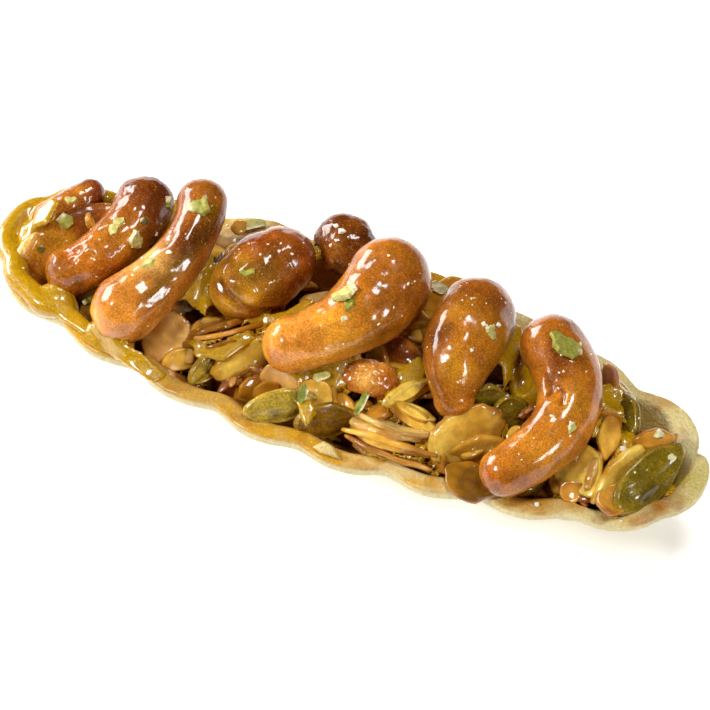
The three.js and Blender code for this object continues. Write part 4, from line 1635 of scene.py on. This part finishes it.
def without_drops(points, quads, fewest):
    """The surface without its loose bodies of fewer than that many vertices."""
    label = np.arange(len(points))
    ends = np.concatenate([quads[:, [0, 1]], quads[:, [1, 2]], quads[:, [2, 3]]]).astype(np.int64)
    while True:
        lower = np.minimum(label[ends[:, 0]], label[ends[:, 1]])
        after = label.copy()
        np.minimum.at(after, ends[:, 0], lower)
        np.minimum.at(after, ends[:, 1], lower)
        after = after[after]
        if np.array_equal(after, label):
            break
        label = after
    count = np.bincount(label, minlength=len(points))
    kept = count[label] >= fewest
    number = np.cumsum(kept) - 1
    return points[kept], number[quads[kept[quads[:, 0]]]]


def caramel_mesh(solids, films):
    """Caramel in the crevices between the solids, with the films of it that span them."""
    everything = joined(solids + films)
    margin = 4
    low = everything.points.min(0) - margin
    shape = tuple(int(n) for n in np.ceil((everything.points.max(0) + margin - low) / VOXEL))
    solid = joined(solids)
    start = surface_field(solid.points, as_quads(solid.faces), low, shape, 1.0)
    bare = closed_field(start, 0.15, low)
    whole = surface_field(everything.points, as_quads(everything.faces), low, shape, POOL + 1.0)
    narrow = closed_field(whole, CREVICE, low)
    wide = closed_field(whole, POOL, low)
    filled = np.minimum(narrow, wide + 2.4 * (1 - pooling(low, shape)))
    field = np.maximum(filled + HELD_BACK, -(bare + OVERLAP))
    points, quads = field_surface(field, 0.0, low)
    points, quads = without_drops(points, quads, SMALLEST_DROP)
    return Mesh(points, quads.tolist())


# ---------------------------------------------------------------- build the pieces
add_camera()

nut_material = candied("nut", (236, 178, 84), 420.0, 4200.0, 0.42)
seed_material = candied("pumpkin_seed", (160, 136, 44), 500.0, 3600.0, 0.35)
almond_material = slice_material()
wet = dict(Coat_Weight=0.8, Coat_Roughness=0.1)
core_material = plain_material("core", None, 700.0, 0.4, 0.3, Specular_IOR_Level=0.15, **wet)
sesame_material = plain_material("sesame", None, 1500.0, 0.25, 0.3, **wet)
chip_material = plain_material("chip", None, 2400.0, 0.25, 0.55)
crumb_material = plain_material("crumb", None, 2400.0, 0.08, 0.6)
caramel_material = plain_material(
    "caramel",
    (216, 164, 12),
    2600.0,
    0.24,
    0.2,
    IOR=1.45,
    Transmission_Weight=0.3,
    Coat_Weight=1.0,
    Coat_Roughness=0.08,
)

shell = shell_mesh()
nuts = {name: nut_mesh(nut, 40 + 10 * i) for i, (name, nut) in enumerate(NUTS.items())}
core = core_mesh()
slices = slice_pieces()
pumpkin = [pumpkin_piece(i, *piece) for i, piece in enumerate(PUMPKIN_SEEDS)]
sesame = sesame_pieces()
shards = shard_pieces()

films = [film(web) for web in WEBS]
films.append(rim_band(0.40, 0.62, 1.7, 1.5, RIM_HEIGHT - 0.1))
solids = [Mesh(m.points, m.faces) for m in [shell, core, *nuts.values(), *slices, *shards, *pumpkin]]
caramel = caramel_mesh(solids, films)

top_side = joined([*solids, caramel])
top_tree = BVHTree.FromPolygons(top_side.points.tolist(), top_side.faces)
chips = chip_pieces(top_tree)
crumbs = crumb_pieces(top_tree)

shell_object = build("wafer", shell, wafer_material())
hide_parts("wafer_shell")
made = [shell_object]
for name, mesh in nuts.items():
    piece = build("nut_" + name, mesh, nut_material)
    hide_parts(name)
    made.append(piece)
core_object = build("heap_core", core, core_material)
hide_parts("nut_filling")
made.append(core_object)
for name, mesh, material, smooth in (
    ("almond_slices", joined(slices + shards), almond_material, True),
    ("pumpkin_seeds", joined(pumpkin), seed_material, True),
    ("sesame_seeds", joined(sesame), sesame_material, True),
    ("green_chips", joined(chips), chip_material, False),
    ("sugar_crumbs", joined(crumbs), crumb_material, False),
    ("caramel", caramel, caramel_material, True),
):
    piece = build(name, mesh, material, smooth)
    made.append(piece)

for piece in made:
    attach(piece, "root")


# ---------------------------------------------------------------- stage
LIGHTS_AIM = Vector((0, 0, 0.015))


def add_floor():
    """A white floor just under the base, which glows a little to soften the shadows."""
    size = 3.0
    corners = [(-size, -size, 0), (size, -size, 0), (size, size, 0), (-size, size, 0)]
    data = bpy.data.meshes.new("floor")
    data.from_pydata(corners, [], [(0, 1, 2, 3)])
    material, _, shader = new_material("floor", Roughness=0.9)
    shader.inputs["Base Color"].default_value = (0.9, 0.9, 0.9, 1)
    shader.inputs["Emission Color"].default_value = (1, 1, 1, 1)
    shader.inputs["Emission Strength"].default_value = 0.4
    data.materials.append(material)
    floor = bpy.data.objects.new("floor", data)
    floor.location.z = -0.0002
    bpy.context.scene.collection.objects.link(floor)


def add_light(name, place, size, power, shape="ELLIPSE"):
    data = bpy.data.lights.new(name, "AREA")
    data.shape = shape
    data.size, data.size_y = size
    data.energy = power
    light = bpy.data.objects.new(name, data)
    light.location = place
    light.rotation_mode = "QUATERNION"
    light.rotation_quaternion = (LIGHTS_AIM - Vector(place)).to_track_quat("-Z", "Y")
    bpy.context.scene.collection.objects.link(light)


def add_world():
    """White surroundings, bright at the horizon and dimmer overhead."""
    world = bpy.data.worlds.new("world")
    world.use_nodes = True
    tree = world.node_tree
    surface = tree.nodes["Background"]
    place = node(tree, "ShaderNodeTexCoord")
    height = node(tree, "ShaderNodeSeparateXYZ", {"Vector": place.outputs["Generated"]}).outputs["Z"]
    tree.links.new(ranged(tree, height, 0.0, 0.35, 0.9, 0.12), surface.inputs["Strength"])
    bpy.context.scene.world = world


add_floor()
add_light("left_window", (-1.17, 0.16, 0.46), (0.9, 0.5), 19.0, "RECTANGLE")
add_light("front_key", (-0.75, -0.75, 1.05), (0.35, 0.35), 12.0)
add_light("overhead", (0.3, 0.3, 1.8), (0.5, 0.5), 15.0)
add_light("right_fill", (1.1, -0.45, 0.75), (0.3, 0.3), 5.5)
add_world()
bpy.context.scene.view_settings.view_transform = "Standard"
